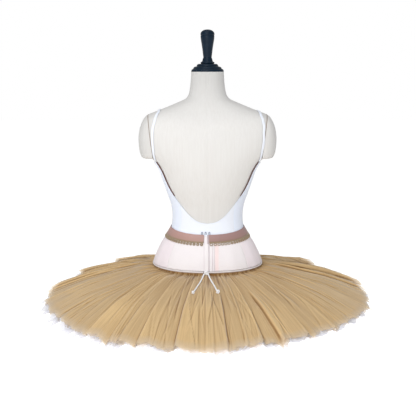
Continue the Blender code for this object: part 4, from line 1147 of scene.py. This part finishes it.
# The main creases on the wearer's back, from the left side round to the right: degrees at the root and
# at the rim, the share of the length where each starts and stops, how far it stands up, how sharp it
# is, how wide its shoulder is, and which way its edge leans (0 stands up straight).
CREASES = np.array((
    (-176.5, -178.0, 0.08, 1.00, 0.0040, 0.0030, 0.026, 1),
    (-170.0, -172.5, 0.05, 1.00, 0.0052, 0.0028, 0.030, 1),
    (-164.8, -168.0, 0.30, 0.92, 0.0026, 0.0022, 0.014, 0),
    (-160.0, -164.2, 0.22, 0.84, 0.0058, 0.0028, 0.022, 1),
    (-155.8, -161.5, 0.42, 1.00, 0.0044, 0.0026, 0.024, 1),
    (-151.0, -154.5, 0.10, 0.72, 0.0030, 0.0034, 0.018, -1),
    (-146.2, -148.6, 0.06, 1.00, 0.0046, 0.0030, 0.030, 1),
    (-139.5, -140.6, 0.18, 0.90, 0.0030, 0.0040, 0.024, 1),
    (-133.2, -131.4, 0.05, 1.00, 0.0070, 0.0026, 0.032, 1),
    (-128.4, -126.2, 0.30, 0.95, 0.0030, 0.0024, 0.012, 0),
    (-124.8, -121.8, 0.05, 1.00, 0.0066, 0.0026, 0.028, 1),
    (-118.8, -119.3, 0.46, 1.00, 0.0042, 0.0026, 0.020, 1),
    (-113.6, -112.4, 0.05, 1.00, 0.0066, 0.0026, 0.032, 1),
    (-108.6, -107.6, 0.24, 0.86, 0.0026, 0.0030, 0.014, -1),
    (-104.6, -103.2, 0.10, 1.00, 0.0044, 0.0026, 0.016, 0),
    (-100.5, -99.5, 0.12, 1.00, 0.0056, 0.0026, 0.024, 1),
    (-95.6, -95.2, 0.30, 0.95, 0.0022, 0.0034, 0.016, 1),
    (-91.3, -90.2, 0.16, 1.00, 0.0040, 0.0024, 0.022, 1),
    (-88.6, -87.8, 0.24, 1.00, 0.0036, 0.0024, 0.020, -1),
    (-84.6, -82.8, 0.36, 1.00, 0.0056, 0.0026, 0.026, -1),
    (-80.6, -80.2, 0.12, 0.70, 0.0028, 0.0030, 0.014, 1),
    (-77.2, -77.5, 0.08, 1.00, 0.0048, 0.0026, 0.016, 0),
    (-72.6, -72.0, 0.05, 1.00, 0.0068, 0.0028, 0.030, -1),
    (-67.6, -65.9, 0.36, 1.00, 0.0062, 0.0026, 0.022, 1),
    (-65.2, -63.6, 0.40, 1.00, 0.0040, 0.0020, 0.010, 0),
    (-60.9, -59.4, 0.20, 0.80, 0.0026, 0.0036, 0.018, 1),
    (-58.2, -54.6, 0.06, 1.00, 0.0060, 0.0028, 0.032, -1),
    (-50.4, -49.2, 0.12, 0.78, 0.0030, 0.0040, 0.024, -1),
    (-43.2, -43.8, 0.05, 1.00, 0.0070, 0.0026, 0.034, -1),
    (-40.2, -39.0, 0.42, 0.96, 0.0024, 0.0024, 0.012, 0),
    (-36.8, -33.8, 0.06, 1.00, 0.0048, 0.0026, 0.026, -1),
    (-33.6, -31.4, 0.10, 0.66, 0.0034, 0.0022, 0.010, 0),
    (-28.4, -26.4, 0.14, 1.00, 0.0036, 0.0034, 0.026, -1),
    (-21.5, -17.2, 0.05, 1.00, 0.0054, 0.0028, 0.030, -1),
    (-13.4, -11.2, 0.16, 0.88, 0.0030, 0.0030, 0.018, 0),
    (-7.2, -5.4, 0.05, 1.00, 0.0046, 0.0028, 0.028, -1),
    (-1.4, 0.8, 0.12, 1.00, 0.0038, 0.0030, 0.026, 1),
))
# On the wearer's front the stack lies in overlapping blades, each a step above the next
FAR_CREASES = np.array((
    (128.0, 130.6, 0.25, 1.00, 0.0056, 0.0026, 0.052, -1),
    (147.5, 150.8, 0.25, 1.00, 0.0056, 0.0026, 0.052, -1),
    (172.5, 176.5, 0.30, 1.00, 0.0040, 0.0026, 0.040, -1),
    (48.0, 44.4, 0.25, 1.00, 0.0056, 0.0026, 0.052, 1),
    (20.5, 17.0, 0.25, 1.00, 0.0056, 0.0026, 0.052, 1),
))
CREASE_STRAY = 0.9           # degrees that a crease on the wearer's front strays from its like at the back
CREASE_SEED = 4
SMALL_CREASES = 260
GATHERS = 168                # small pleats drawn up round the root
GATHER_HEIGHT = 0.0014
DEEP_GATHERS = 84
DEEP_GATHER_DROP = 0.0016    # how far each deep gather sinks
DEEP_GATHER_SHADE = 0.85
WAVE_HEIGHT = 0.0026         # of the slow waves that all the layers share
CREASE_NAMES = ("root", "rim", "start", "stop", "rise", "sharp", "wide", "lean", "slant")
SLANT = 11.0                 # degrees that a small crease may run aslant between root and rim
MAIN_SLANT = 2.2

BIG_CREASE, BIG_SHARE, LESSER_SHARE = 0.0050, 0.95, 0.5      # how much of its height each keeps
SHARPENED = 0.8
WEDGE_CREASE, WEDGE_LEAN, WEDGE_TONE = 0.0036, 0.55, 0.8


def once_round(degrees):
    """Set values that go once round the wearer before and after themselves, to read past either end."""
    return np.concatenate([degrees - 360, degrees, degrees + 360])


draw = np.random.default_rng(CREASE_SEED)
mirrored = CREASES * np.array((-1, -1, 1, 1, 1, 1, 1, -1))
mirrored[:, :2] += draw.uniform(-CREASE_STRAY, CREASE_STRAY, (len(CREASES), 1))
mirrored[:, 4] *= draw.uniform(0.75, 1.2, len(CREASES))
main_creases = np.concatenate([CREASES, mirrored])
main_creases[:, 4] *= np.where(main_creases[:, 4] > BIG_CREASE, BIG_SHARE, LESSER_SHARE)
main_creases[:, 5] *= SHARPENED
main_creases = np.concatenate([main_creases, FAR_CREASES])
main_creases = np.column_stack([main_creases, draw.uniform(-MAIN_SLANT, MAIN_SLANT, len(main_creases))])
main_creases = main_creases[np.argsort(main_creases[:, 1])]
rim_places = once_round(main_creases[:, 1])
root_places = np.maximum.accumulate(once_round(main_creases[:, 0]))
# Between two creases the net lies as one flat wedge, which takes the light in its own way; that light and
# shade are painted into its colour, a random tone for each wedge, often lighter to one side
strong = main_creases[main_creases[:, 4] > WEDGE_CREASE]
wedge_from = once_round(strong[:, 1])
wedge_wide = np.diff(wedge_from, append=wedge_from[-1] + 9.0)
wedge_places = np.stack([wedge_from + 0.05 * wedge_wide, wedge_from + 0.95 * wedge_wide], axis=1).ravel()
wedge_tilt = WEDGE_LEAN * np.tile(strong[:, 7], 3)
wedge_tones = np.tile(draw.uniform(-WEDGE_TONE, WEDGE_TONE, len(strong)), 3)
wedge_tones = np.stack([wedge_tones - wedge_tilt, wedge_tones + wedge_tilt], axis=1).ravel()


def wrapped(angle):
    """Bring an angle to within half a turn of nought."""
    return (angle + math.pi) % (2 * math.pi) - math.pi


def small_creases(seed):
    """Scatter a layer's own small creases: short, low and leaning either way."""
    draw = np.random.default_rng(seed)
    places = draw.uniform(-180, 180, SMALL_CREASES)
    starts = draw.uniform(0.04, 0.70, SMALL_CREASES)
    stops = np.minimum(starts + draw.uniform(0.25, 0.80, SMALL_CREASES), 1.0)
    rises = draw.uniform(0.0005, 0.0020, SMALL_CREASES)
    sharps = draw.uniform(0.0009, 0.0019, SMALL_CREASES)
    wides = draw.uniform(0.004, 0.014, SMALL_CREASES)
    leans = draw.integers(-1, 2, SMALL_CREASES)
    slants = draw.uniform(-SLANT, SLANT, SMALL_CREASES)
    roots = np.interp(places, rim_places, root_places)
    return np.stack([roots, places, starts, stops, rises, sharps, wides, leans, slants], axis=1)


def crease_height(creases, turn, reach):
    """Add up the creases over a sheet, and the painted shade in their folds and painted highlight on their
    lips.

    turn is each column's angle at the rim, and reach runs from the root to the rim.
    """
    radius = ROOT_RADIUS + (RIM_ACROSS - ROOT_RADIUS) * reach
    grow = 0.4 + 0.6 * reach
    total, shade = np.zeros((len(reach), len(turn))), np.zeros((len(reach), len(turn)))
    for crease in creases:
        c = dict(zip(CREASE_NAMES, crease))
        away = wrapped(turn - math.radians(c["rim"]))
        near = np.abs(away) < 0.30
        aslant = math.radians(c["slant"]) * (reach[:, None] - 0.5)
        x = (away[None, near] - aslant) * radius[:, None]
        sharp, wide = c["sharp"] * grow[:, None], c["wide"] * grow[:, None]
        if c["lean"]:
            shape = np.tanh(c["lean"] * x / sharp) * np.exp(-np.abs(x) / wide)
            dark = np.exp(-((c["lean"] * x + 1.2 * sharp) / (1.2 * sharp)) ** 2)
            pale = np.exp(-((c["lean"] * x - 1.6 * sharp) / (1.6 * sharp)) ** 2)
        else:
            shape = 1.25 * np.exp(-(x / (1.6 * sharp)) ** 2) - 0.25 * np.exp(-(x / wide) ** 2)
            dark = 0.6 * np.exp(-((np.abs(x) - 2.6 * sharp) / (1.1 * sharp)) ** 2)
            pale = np.exp(-(x / (1.3 * sharp)) ** 2)
        window = soft_step(reach, c["start"] - 0.02, c["start"] + 0.20)
        window = window * (1 - soft_step(reach, c["stop"] - 0.14, c["stop"] + 0.01) * (c["stop"] < 0.999))
        total[:, near] += c["rise"] * window[:, None] * shape
        shade[:, near] += c["rise"] * window[:, None] * (dark - 0.7 * pale)
    return total, shade


def drawn_gathers(turn, reach, seed):
    """The deep narrow gathers under the basque, of uneven length, each drawn to a point."""
    draw = np.random.default_rng(seed)
    places = np.radians(np.arange(0, 360, 360 / DEEP_GATHERS) + draw.uniform(-2.6, 2.6, DEEP_GATHERS))
    lengths = draw.uniform(0.06, 0.16, DEEP_GATHERS) * draw.choice((1.0, 1.0, 2.4), DEEP_GATHERS)
    halves = draw.uniform(0.0016, 0.0042, DEEP_GATHERS)
    slants = np.radians(draw.uniform(-5.0, 5.0, DEEP_GATHERS))
    dark = np.zeros((len(reach), len(turn)))
    for place, length, half, slant in zip(places, lengths, halves, slants):
        left = np.clip(1 - reach[:, None] / length, 0, 1)
        away = wrapped(turn[None, :] - place - slant * reach[:, None] / length)
        dark = np.maximum(dark, np.exp(-(away * ROOT_RADIUS / (half * left + 0.0006)) ** 2) * left ** 0.6)
    return dark


def slow_waves(turn, reach):
    """The broad rise and fall of the stack, which grows towards the rim."""
    wave = 0.45 * np.sin(9 * turn + 0.6) + 0.35 * np.sin(14 * turn + 2.2) + 0.3 * np.sin(23 * turn + 4.0)
    return WAVE_HEIGHT * wave[None, :] * soft_step(reach, 0.1, 1.0)[:, None]


# The raw edge of the top layer at the wearer's back: degrees, and how far it stands out
GOLD_EDGE = (
    (-188, 0.004), (-184, 0.013), (-180, 0.002), (-175, -0.004), (-171.5, 0.011), (-167, -0.002),
    (-163, 0.003), (-159, 0.009), (-156, -0.003), (-152, 0.004), (-149, -0.003), (-146, 0.007),
    (-142, 0.002), (-138, 0.010), (-135, 0.003), (-131, 0.014), (-127.5, 0.004), (-123.5, 0.018),
    (-120, 0.010), (-116.5, 0.005), (-113, 0.013), (-109, 0.004), (-104, 0.013), (-101, 0.006),
    (-96, 0.012), (-93, 0.009), (-90.5, 0.016), (-86, 0.014), (-83, 0.009), (-79.5, 0.004),
    (-76.5, 0.006), (-73, 0.000), (-69.5, -0.006), (-66.8, 0.014), (-64.2, -0.005), (-60, 0.001),
    (-57, -0.001), (-54, 0.003), (-51, -0.009), (-47, -0.003), (-44, 0.002), (-40, -0.009), (-37, 0.001),
    (-33, -0.008), (-29, 0.004), (-25, -0.003), (-21, 0.006), (-18, -0.002), (-15, 0.009),
    (-11.5, -0.003), (-8, 0.007), (-4, -0.001), (0, 0.006), (4, 0.000), (8, -0.014),
)
# The same round the wearer's front, with long tips at both quarters and deep snips between them
FAR_EDGE = (
    (13.5, -0.014), (17.4, 0.038), (20, 0.004), (26, 0.012), (34, 0.018), (40, 0.020), (45, 0.032),
    (47.5, -0.024), (55, -0.014), (63, -0.005), (70, 0.004), (77, -0.004), (84, 0.003), (91, -0.003),
    (98, 0.004), (105, -0.004), (112, 0.002), (119, -0.008), (126, -0.004), (130, 0.018), (133, -0.032),
    (140, -0.034), (146, -0.022), (150, 0.018), (153, -0.028), (161, -0.030), (167, -0.014),
)
# On that side the white shows past the gold at the left, in three lobes
FAR_WHITE = (
    (12, -0.018), (30, -0.020), (45, -0.010), (60, -0.012), (90, -0.008), (118, -0.012), (128, -0.004),
    (132.5, 0.008), (137, -0.030), (147, -0.026), (151.5, 0.012), (155, -0.012), (159, 0.002), (164, -0.018),
    (167, -0.012),
)
# The white under it shows in lobes past the gold
WHITE_EDGE = (
    (-190, -0.012), (-187, 0.008), (-184, -0.004), (-178, 0.004), (-175, 0.024), (-172, -0.002),
    (-166, 0.026), (-162, 0.008), (-158, -0.004), (-153.5, 0.028), (-150, -0.004), (-143, 0.027),
    (-140, -0.002), (-136.5, 0.024), (-133, -0.006), (-128.5, 0.027), (-125.5, -0.002), (-121, 0.029),
    (-118, -0.002), (-115, 0.011), (-111, -0.002), (-107, 0.016), (-104, 0.014), (-100, 0.000),
    (-92, -0.004), (-87, -0.002), (-83.5, 0.012), (-80, 0.011), (-76, -0.006), (-70.5, 0.008),
    (-68, -0.012), (-63, 0.005), (-60, 0.007), (-56, -0.006), (-51, 0.006), (-47, -0.008), (-41, 0.006),
    (-38, -0.006), (-33, 0.011), (-29, -0.006), (-24, 0.011), (-20, -0.006), (-12, 0.010), (-8, -0.006),
    (-2, 0.009), (3, 0.012), (8, -0.004),
)
# Strands at the wearer's right that the shears left long: degrees, length and half width
LONG_STRANDS = ((6.5, 0.022, 0.006), (2.5, 0.020, 0.005), (-1.0, 0.012, 0.005), (-10.0, 0.014, 0.006),
                (-15.0, 0.016, 0.005), (-19.5, 0.015, 0.006), (-25.0, 0.011, 0.005), (-30.5, 0.012, 0.004),
                (-37.0, 0.011, 0.004), (-45.0, 0.010, 0.005), (-54.5, 0.009, 0.004), (-66.6, 0.008, 0.004))


def raw_edge(table, far, turn, seed, jag):
    """Read how far a cut edge stands out, from its table for the back and the one for the front."""
    draw = np.random.default_rng(seed)
    table, far = np.array(table, float), np.array(far)
    places = np.concatenate([table[:, 0], far[:, 0] + draw.uniform(-0.8, 0.8, len(far))])
    values = np.concatenate([table[:, 1], far[:, 1] + draw.uniform(-0.002, 0.002, len(far))])
    degrees = np.degrees(turn)
    degrees = np.where(degrees > 168.0, degrees - 360, degrees)
    reach = np.interp(degrees, places, values)
    snips = np.arange(-191.0, 169.0, 0.55)
    return reach + np.interp(degrees, snips, draw.uniform(-jag, jag, len(snips)))


def lay_under_cords(points):
    """Bring the top layer up or down to just under the drawstring's ends."""
    ground = points[..., :2]
    for route, knot in ((CORD_LEFT, LEFT_KNOT), (CORD_RIGHT, RIGHT_KNOT)):
        line, _ = along_route(route, 0.002)
        under = np.concatenate([line - (0, 0, CORD_ACROSS / 2), [np.array(knot[0]) - (0, 0, knot[1][2])]])
        gap = np.linalg.norm(ground[:, :, None] - under[None, None, :, :2], axis=3)
        nearest = gap.argmin(axis=2)
        close = np.exp(-(gap.min(axis=2) / CORD_BED) ** 2)
        drop = under[nearest, 2] - REST_GAP - points[..., 2]
        points[..., 2] += drop * close
    return points


SHADE_FULL = 0.0050          # crease height at which the painted shade in a fold is fullest
CORD_BED = 0.0075            # how wide a bed each cord makes for itself
REST_GAP = 0.0004            # between each cord and the net under it
ROOT_SHADE = 0.14            # painted shade at the root under the basque's foot, where the net is also drawn together
EDGE_DROOP = 0.9             # how far a long tip hangs at the back; in front the tips stand out
ROOT_LIFT, LIFT_REACH = 0.0055, 0.35         # how far its bulk lifts the top layer at its root
EDGE_POWER = 9               # how near the rim the cut edge's shape keeps to
MAIN_SHADE, SMALL_SHADE, GATHER_SHADE = 1.25, 2.4, 1.5
# The top layer's gathered heading stands up behind the casing, in rows from its upper edge
HEADING_ROWS = np.array((1.0, 0.66, 0.33))
TULLE_ROWS = np.concatenate([[0.0, 0.012, 0.03], np.linspace(0.055, 0.93, 27), [0.955, 0.975, 0.99, 1.0]])


def tulle_sheet(name, node, number, puff, fold, count, seed, edge, far, jag, strands, material):
    """Gather one layer: rows of points from the rim in to the root, standing up over its creases."""
    turn = denser_near(main_creases[:, 1], -180.0, 180.0, count + 1, 1.1, 2.2)[:-1]
    reach = TULLE_ROWS
    root_turn = np.radians(np.interp(np.degrees(turn), rim_places, root_places))
    angle = root_turn + (turn - root_turn) * reach[:, None]
    height = line_height("tulle_root", angle) - ROOT_STEP * number
    if number == 0:
        height = height + ROOT_LIFT * np.clip(1 - reach[:, None] / LIFT_REACH, 0, 1) ** 2
    root = form_surface(height, angle, ROOT_OFF)
    out = np.stack([np.cos(angle), np.sin(angle), 0 * angle], axis=-1)
    rim_z = RIM_HEIGHT + np.where(out[..., 1] > 0, TILT_FRONT, TILT_BACK) * out[..., 1] - RIM_STEP * number
    rim = np.stack([RIM_ACROSS * out[..., 0], RIM_DEEP * out[..., 1], rim_z], axis=-1)
    points = root + (rim - root) * reach[:, None, None]
    near_back = np.exp(-((np.degrees(angle) + 90.0) / BACK_SPREAD) ** 2)
    domed, straight = read_puff(reach)[:, None], read_back_puff(reach)[:, None]
    risen = domed + (straight - domed) * near_back
    points[..., 2] += puff * risen * (PUFF_AT_SIDE + PUFF_TILT * out[..., 1])
    creased, main_shade = crease_height(main_creases, turn, reach)
    small, small_shade = crease_height(small_creases(seed), turn, reach)
    gathers = np.sin(GATHERS * turn + 2.5 * np.sin(7 * turn + seed)) * GATHER_HEIGHT
    long = 0.20 + 0.14 * np.sin(31 * turn + seed) + 0.05 * np.sin(83 * turn + 2 * seed)
    drawn_up = 1 - soft_step(reach[:, None] / long[None, :], 0.15, 1.0)
    drawn_up = soft_step(reach, -0.01, 0.02)[:, None] * drawn_up
    waves = slow_waves(turn, reach)
    deep_gathers = drawn_gathers(turn, reach, seed)
    points[..., 2] += fold * (creased + waves) + small + gathers[None, :] * drawn_up
    points[..., 2] -= DEEP_GATHER_DROP * deep_gathers
    stand = raw_edge(edge, far, turn, seed, jag)
    for degrees, length, half_width in strands:
        away = wrapped(turn - math.radians(degrees))
        stand = stand + length * np.clip(1 - np.abs(away) * RIM_ACROSS / half_width, 0, 1)
    share = reach[:, None] ** EDGE_POWER
    points += out * (stand[None, :] * share)[..., None]
    points[..., 2] -= (EDGE_DROOP * (0.5 - 0.5 * out[..., 1])) * np.maximum(stand, 0)[None, :] * share
    if number == 0:
        points = lay_under_cords(points)
        up = line_height("heading_top", angle[0]) - height[0]
        heading = np.repeat(points[:1], len(HEADING_ROWS), axis=0)
        heading[..., 2] = height[0] + up * HEADING_ROWS[:, None]
        heading += out[:1] * (gathers * (1.0 - 0.7 * HEADING_ROWS[:, None]) * 0.35)[..., None]
        points = np.concatenate([heading, points])
    sheet = skin(name, points[::-1], material, closed=True)
    # Painted shade in the folds, gathers and root, and painted highlight on the creases' lips, for the
    # material to read
    shade = MAIN_SHADE * main_shade + SMALL_SHADE * small_shade - GATHER_SHADE * gathers[None, :] * drawn_up
    tulle_shade_and_highlight = np.clip(shade / SHADE_FULL, -1, 1)
    near_edge = np.broadcast_to(reach[:, None], tulle_shade_and_highlight.shape)
    root_shade = ROOT_SHADE * np.exp(-reach[:, None] / 0.05) * (1 - 1.5 * gathers / GATHER_HEIGHT)
    tulle_shade_and_highlight = np.clip(tulle_shade_and_highlight + root_shade + DEEP_GATHER_SHADE * deep_gathers, -1, 1)
    wedge = np.interp(np.degrees(turn), wedge_places, wedge_tones)[None, :]
    wedge = wedge * soft_step(reach, 0.02, 0.25)[:, None]
    for mark_name, values in (("tulle_shade_and_highlight", tulle_shade_and_highlight), ("reach", near_edge), ("wedge", wedge)):
        values = np.concatenate([np.repeat(values[:1], len(points) - len(values), axis=0), values])
        add_mark(sheet, mark_name, values[::-1])
    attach(sheet, "root")
    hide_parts(node)
    return sheet


def build_tulle_net():
    """The six-sided holes of tulle, in the cloth's own map."""
    group, given, result = new_group("tulle net", [("Pitch", "NodeSocketFloat", 0.0013)],
                                     [("Thread", "NodeSocketFloat")])
    nodes = group.nodes
    cells = add_node(nodes, "ShaderNodeTexVoronoi", feature="DISTANCE_TO_EDGE", randomness=0.25,
                     vector=read_place(nodes, "UV"), scale=work_out(nodes, "DIVIDE", 1.0, given["Pitch"]))
    feed(result["Thread"], fade(nodes, cells.outputs["Distance"], 0.02, 0.16, 1.0, 0.0))
    return group


tulle_net = build_tulle_net()


def build_streaks():
    """Streaks from root to rim, where the gathers pull the net closer together."""
    group, given, result = new_group("gather streaks", [("Fineness", "NodeSocketFloat", 150.0)],
                                     [("Share", "NodeSocketFloat")])
    nodes = group.nodes
    across, along, _ = split_place(nodes, read_place(nodes, "UV"))
    drawn_out = add_node(nodes, "ShaderNodeCombineXYZ",
                         x=work_out(nodes, "MULTIPLY", across, given["Fineness"]),
                         y=work_out(nodes, "MULTIPLY", along, 5.0))
    level = noise(nodes, 1.0, 3.0, vector=drawn_out.outputs["Vector"])
    feed(result["Share"], fade(nodes, level, 0.32, 0.68))
    return group


gather_streaks = build_streaks()


STREAK_FINENESS, STREAK_WEIGHT = 380.0, 0.34
THIN_FROM = 0.935            # share of the length past which the net is seen singly
HOLE_PITCH, THREAD_WEIGHT = 0.0014, 0.12


def tulle_like(name, light, other, deep, edge, body, brink):
    """Tulle: with painted highlight on its ridges, painted shade in its folds, gathers and flat wedges,
    darker towards its root, and sheer at the raw edge.

    body and brink say how well it covers what is under it, over most of it and at its edge.
    """
    material, nodes, shader = new_material(name, light, 0.75, 0.25, sheen=0.45)
    wedge = fade(nodes, read_mark(nodes, "wedge"), -1.0, 1.0)
    tulle_shade_and_highlight = fade(nodes, read_mark(nodes, "tulle_shade_and_highlight"), -0.6, 1.0, -0.46, 0.82)
    streaks = place_group(nodes, gather_streaks, Fineness=STREAK_FINENESS).outputs["Share"]
    reach = read_mark(nodes, "reach")
    # The net is made darker towards its root
    deeper_to_root = fade(nodes, reach, 0.0, 0.75, 0.26, -0.06)
    thinning = fade(nodes, reach, THIN_FROM)
    streaked = work_out(nodes, "MULTIPLY_ADD", streaks, STREAK_WEIGHT, tulle_shade_and_highlight)
    deepened = work_out(nodes, "ADD", streaked, deeper_to_root, use_clamp=True)
    # Painted light and shade on each flat wedge between the creases
    tone = mix_colours(nodes, wedge, drift(nodes, light, other, 0.12, 1.2), (*other, 1))
    tone = mix_colours(nodes, deepened, tone, (*deep, 1))
    feed(shader.inputs["Base Color"], mix_colours(nodes, thinning, tone, (*edge, 1)))
    net = place_group(nodes, tulle_net, Pitch=HOLE_PITCH).outputs["Thread"]
    cover = fade(nodes, thinning, low=body, high=brink)
    feed(shader.inputs["Alpha"], work_out(nodes, "MULTIPLY_ADD", net, THREAD_WEIGHT, cover, use_clamp=True))
    return material


gold = tulle_like("gold tulle", (0.905, 0.634, 0.306), (0.66, 0.465, 0.24), (0.31, 0.165, 0.055),
                  (0.90, 0.72, 0.48), body=0.86, brink=0.40)
under_gold = tulle_like("gold tulle of the lower layers", (0.88, 0.62, 0.32), (0.68, 0.48, 0.26),
                        (0.38, 0.22, 0.085), (0.82, 0.68, 0.50), body=0.82, brink=0.42)
white = tulle_like("white tulle", (0.82, 0.82, 0.88), (0.78, 0.78, 0.86), (0.66, 0.66, 0.76),
                   (0.90, 0.90, 0.95), body=0.88, brink=0.62)
GOLD_UNDER_EDGE = tuple((degrees + 1.7, reach - 0.001) for degrees, reach in GOLD_EDGE)
WHITE_UNDER_EDGE = tuple((degrees + 2.3, reach - 0.004) for degrees, reach in WHITE_EDGE)
LAYERS = (                        # name, node, puff, fold, columns, edge, far edge, jag, strands, material
    ("gold_top", "gold_top", 1.00, 1.00, 2300, GOLD_EDGE, FAR_EDGE, 0.0024, LONG_STRANDS, gold),
    ("gold_second", "gold_upper", 0.86, 0.92, 1150, GOLD_UNDER_EDGE, FAR_EDGE, 0.0024, (), under_gold),
    ("white_third", "white_upper", 0.70, 0.84, 1150, WHITE_EDGE, FAR_WHITE, 0.0018, (), white),
    ("gold_fourth", "gold_lower", 0.52, 0.76, 1150, GOLD_UNDER_EDGE, FAR_EDGE, 0.0024, (), under_gold),
    ("white_fifth", "white_lower", 0.32, 0.68, 1150, WHITE_UNDER_EDGE, FAR_WHITE, 0.0018, (), white),
)
for number, (name, node, puff, fold, count, edge, far, jag, strands, material) in enumerate(LAYERS):
    sheet = tulle_sheet(f"tulle_{name}_layer", f"tulle_{node}", number, puff, fold, count, 20 + number, edge,
                        far, jag, strands, material)

# ---- Floor and light -------------------------------------------------------------------------------
# A plain pale floor under soft studio light.
FLOOR_GLOW, BACKDROP_LIGHT = 0.62, 0.42
floor_paint, _, floor_shader = new_material("pale floor", (0.95, 0.95, 0.95), 0.9, 0.0)
floor_shader.inputs["Emission Color"].default_value = (1.0, 1.0, 1.0, 1.0)
floor_shader.inputs["Emission Strength"].default_value = FLOOR_GLOW
floor_mesh = bpy.data.meshes.new("floor")
FLOOR_REACH = 12.0
corners = ((-1, -1), (1, -1), (1, 1), (-1, 1))
floor_mesh.from_pydata([(x * FLOOR_REACH, y * FLOOR_REACH, 0.0) for x, y in corners], [], [(0, 1, 2, 3)])
floor = place_mesh("floor", floor_mesh, floor_paint)

# The backdrop is seen as plain white, and lights the piece a little less than it is seen
world = bpy.data.worlds.new("studio")
bpy.context.scene.world = world
world.use_nodes = True
backdrop = world.node_tree.nodes["Background"]
nodes = world.node_tree.nodes
seen = add_node(nodes, "ShaderNodeLightPath").outputs["Is Camera Ray"]
feed(backdrop.inputs["Strength"], fade(nodes, seen, low=BACKDROP_LIGHT))
backdrop.inputs["Color"].default_value = (1.0, 1.0, 1.0, 1.0)


def softbox(name, place, aim, across, power, tint=(1.0, 1.0, 1.0)):
    """Hang a square soft light at a place, turned to face a point."""
    light = bpy.data.lights.new(name, "AREA")
    light.size = across
    light.energy = power
    light.color = tint
    lamp = bpy.data.objects.new(name, light)
    lamp.location = place
    lamp.rotation_euler = (Vector(aim) - Vector(place)).to_track_quat("-Z", "Y").to_euler()
    bpy.context.scene.collection.objects.link(lamp)


softbox("front", place=(-0.75, -3.3, 1.35), aim=(0, 0, 0.35), across=1.8, power=41.8,
        tint=(1.0, 0.995, 0.985))
softbox("above", place=(-0.3, -0.9, 2.6), aim=(0, 0, 0.2), across=1.6, power=19.0)
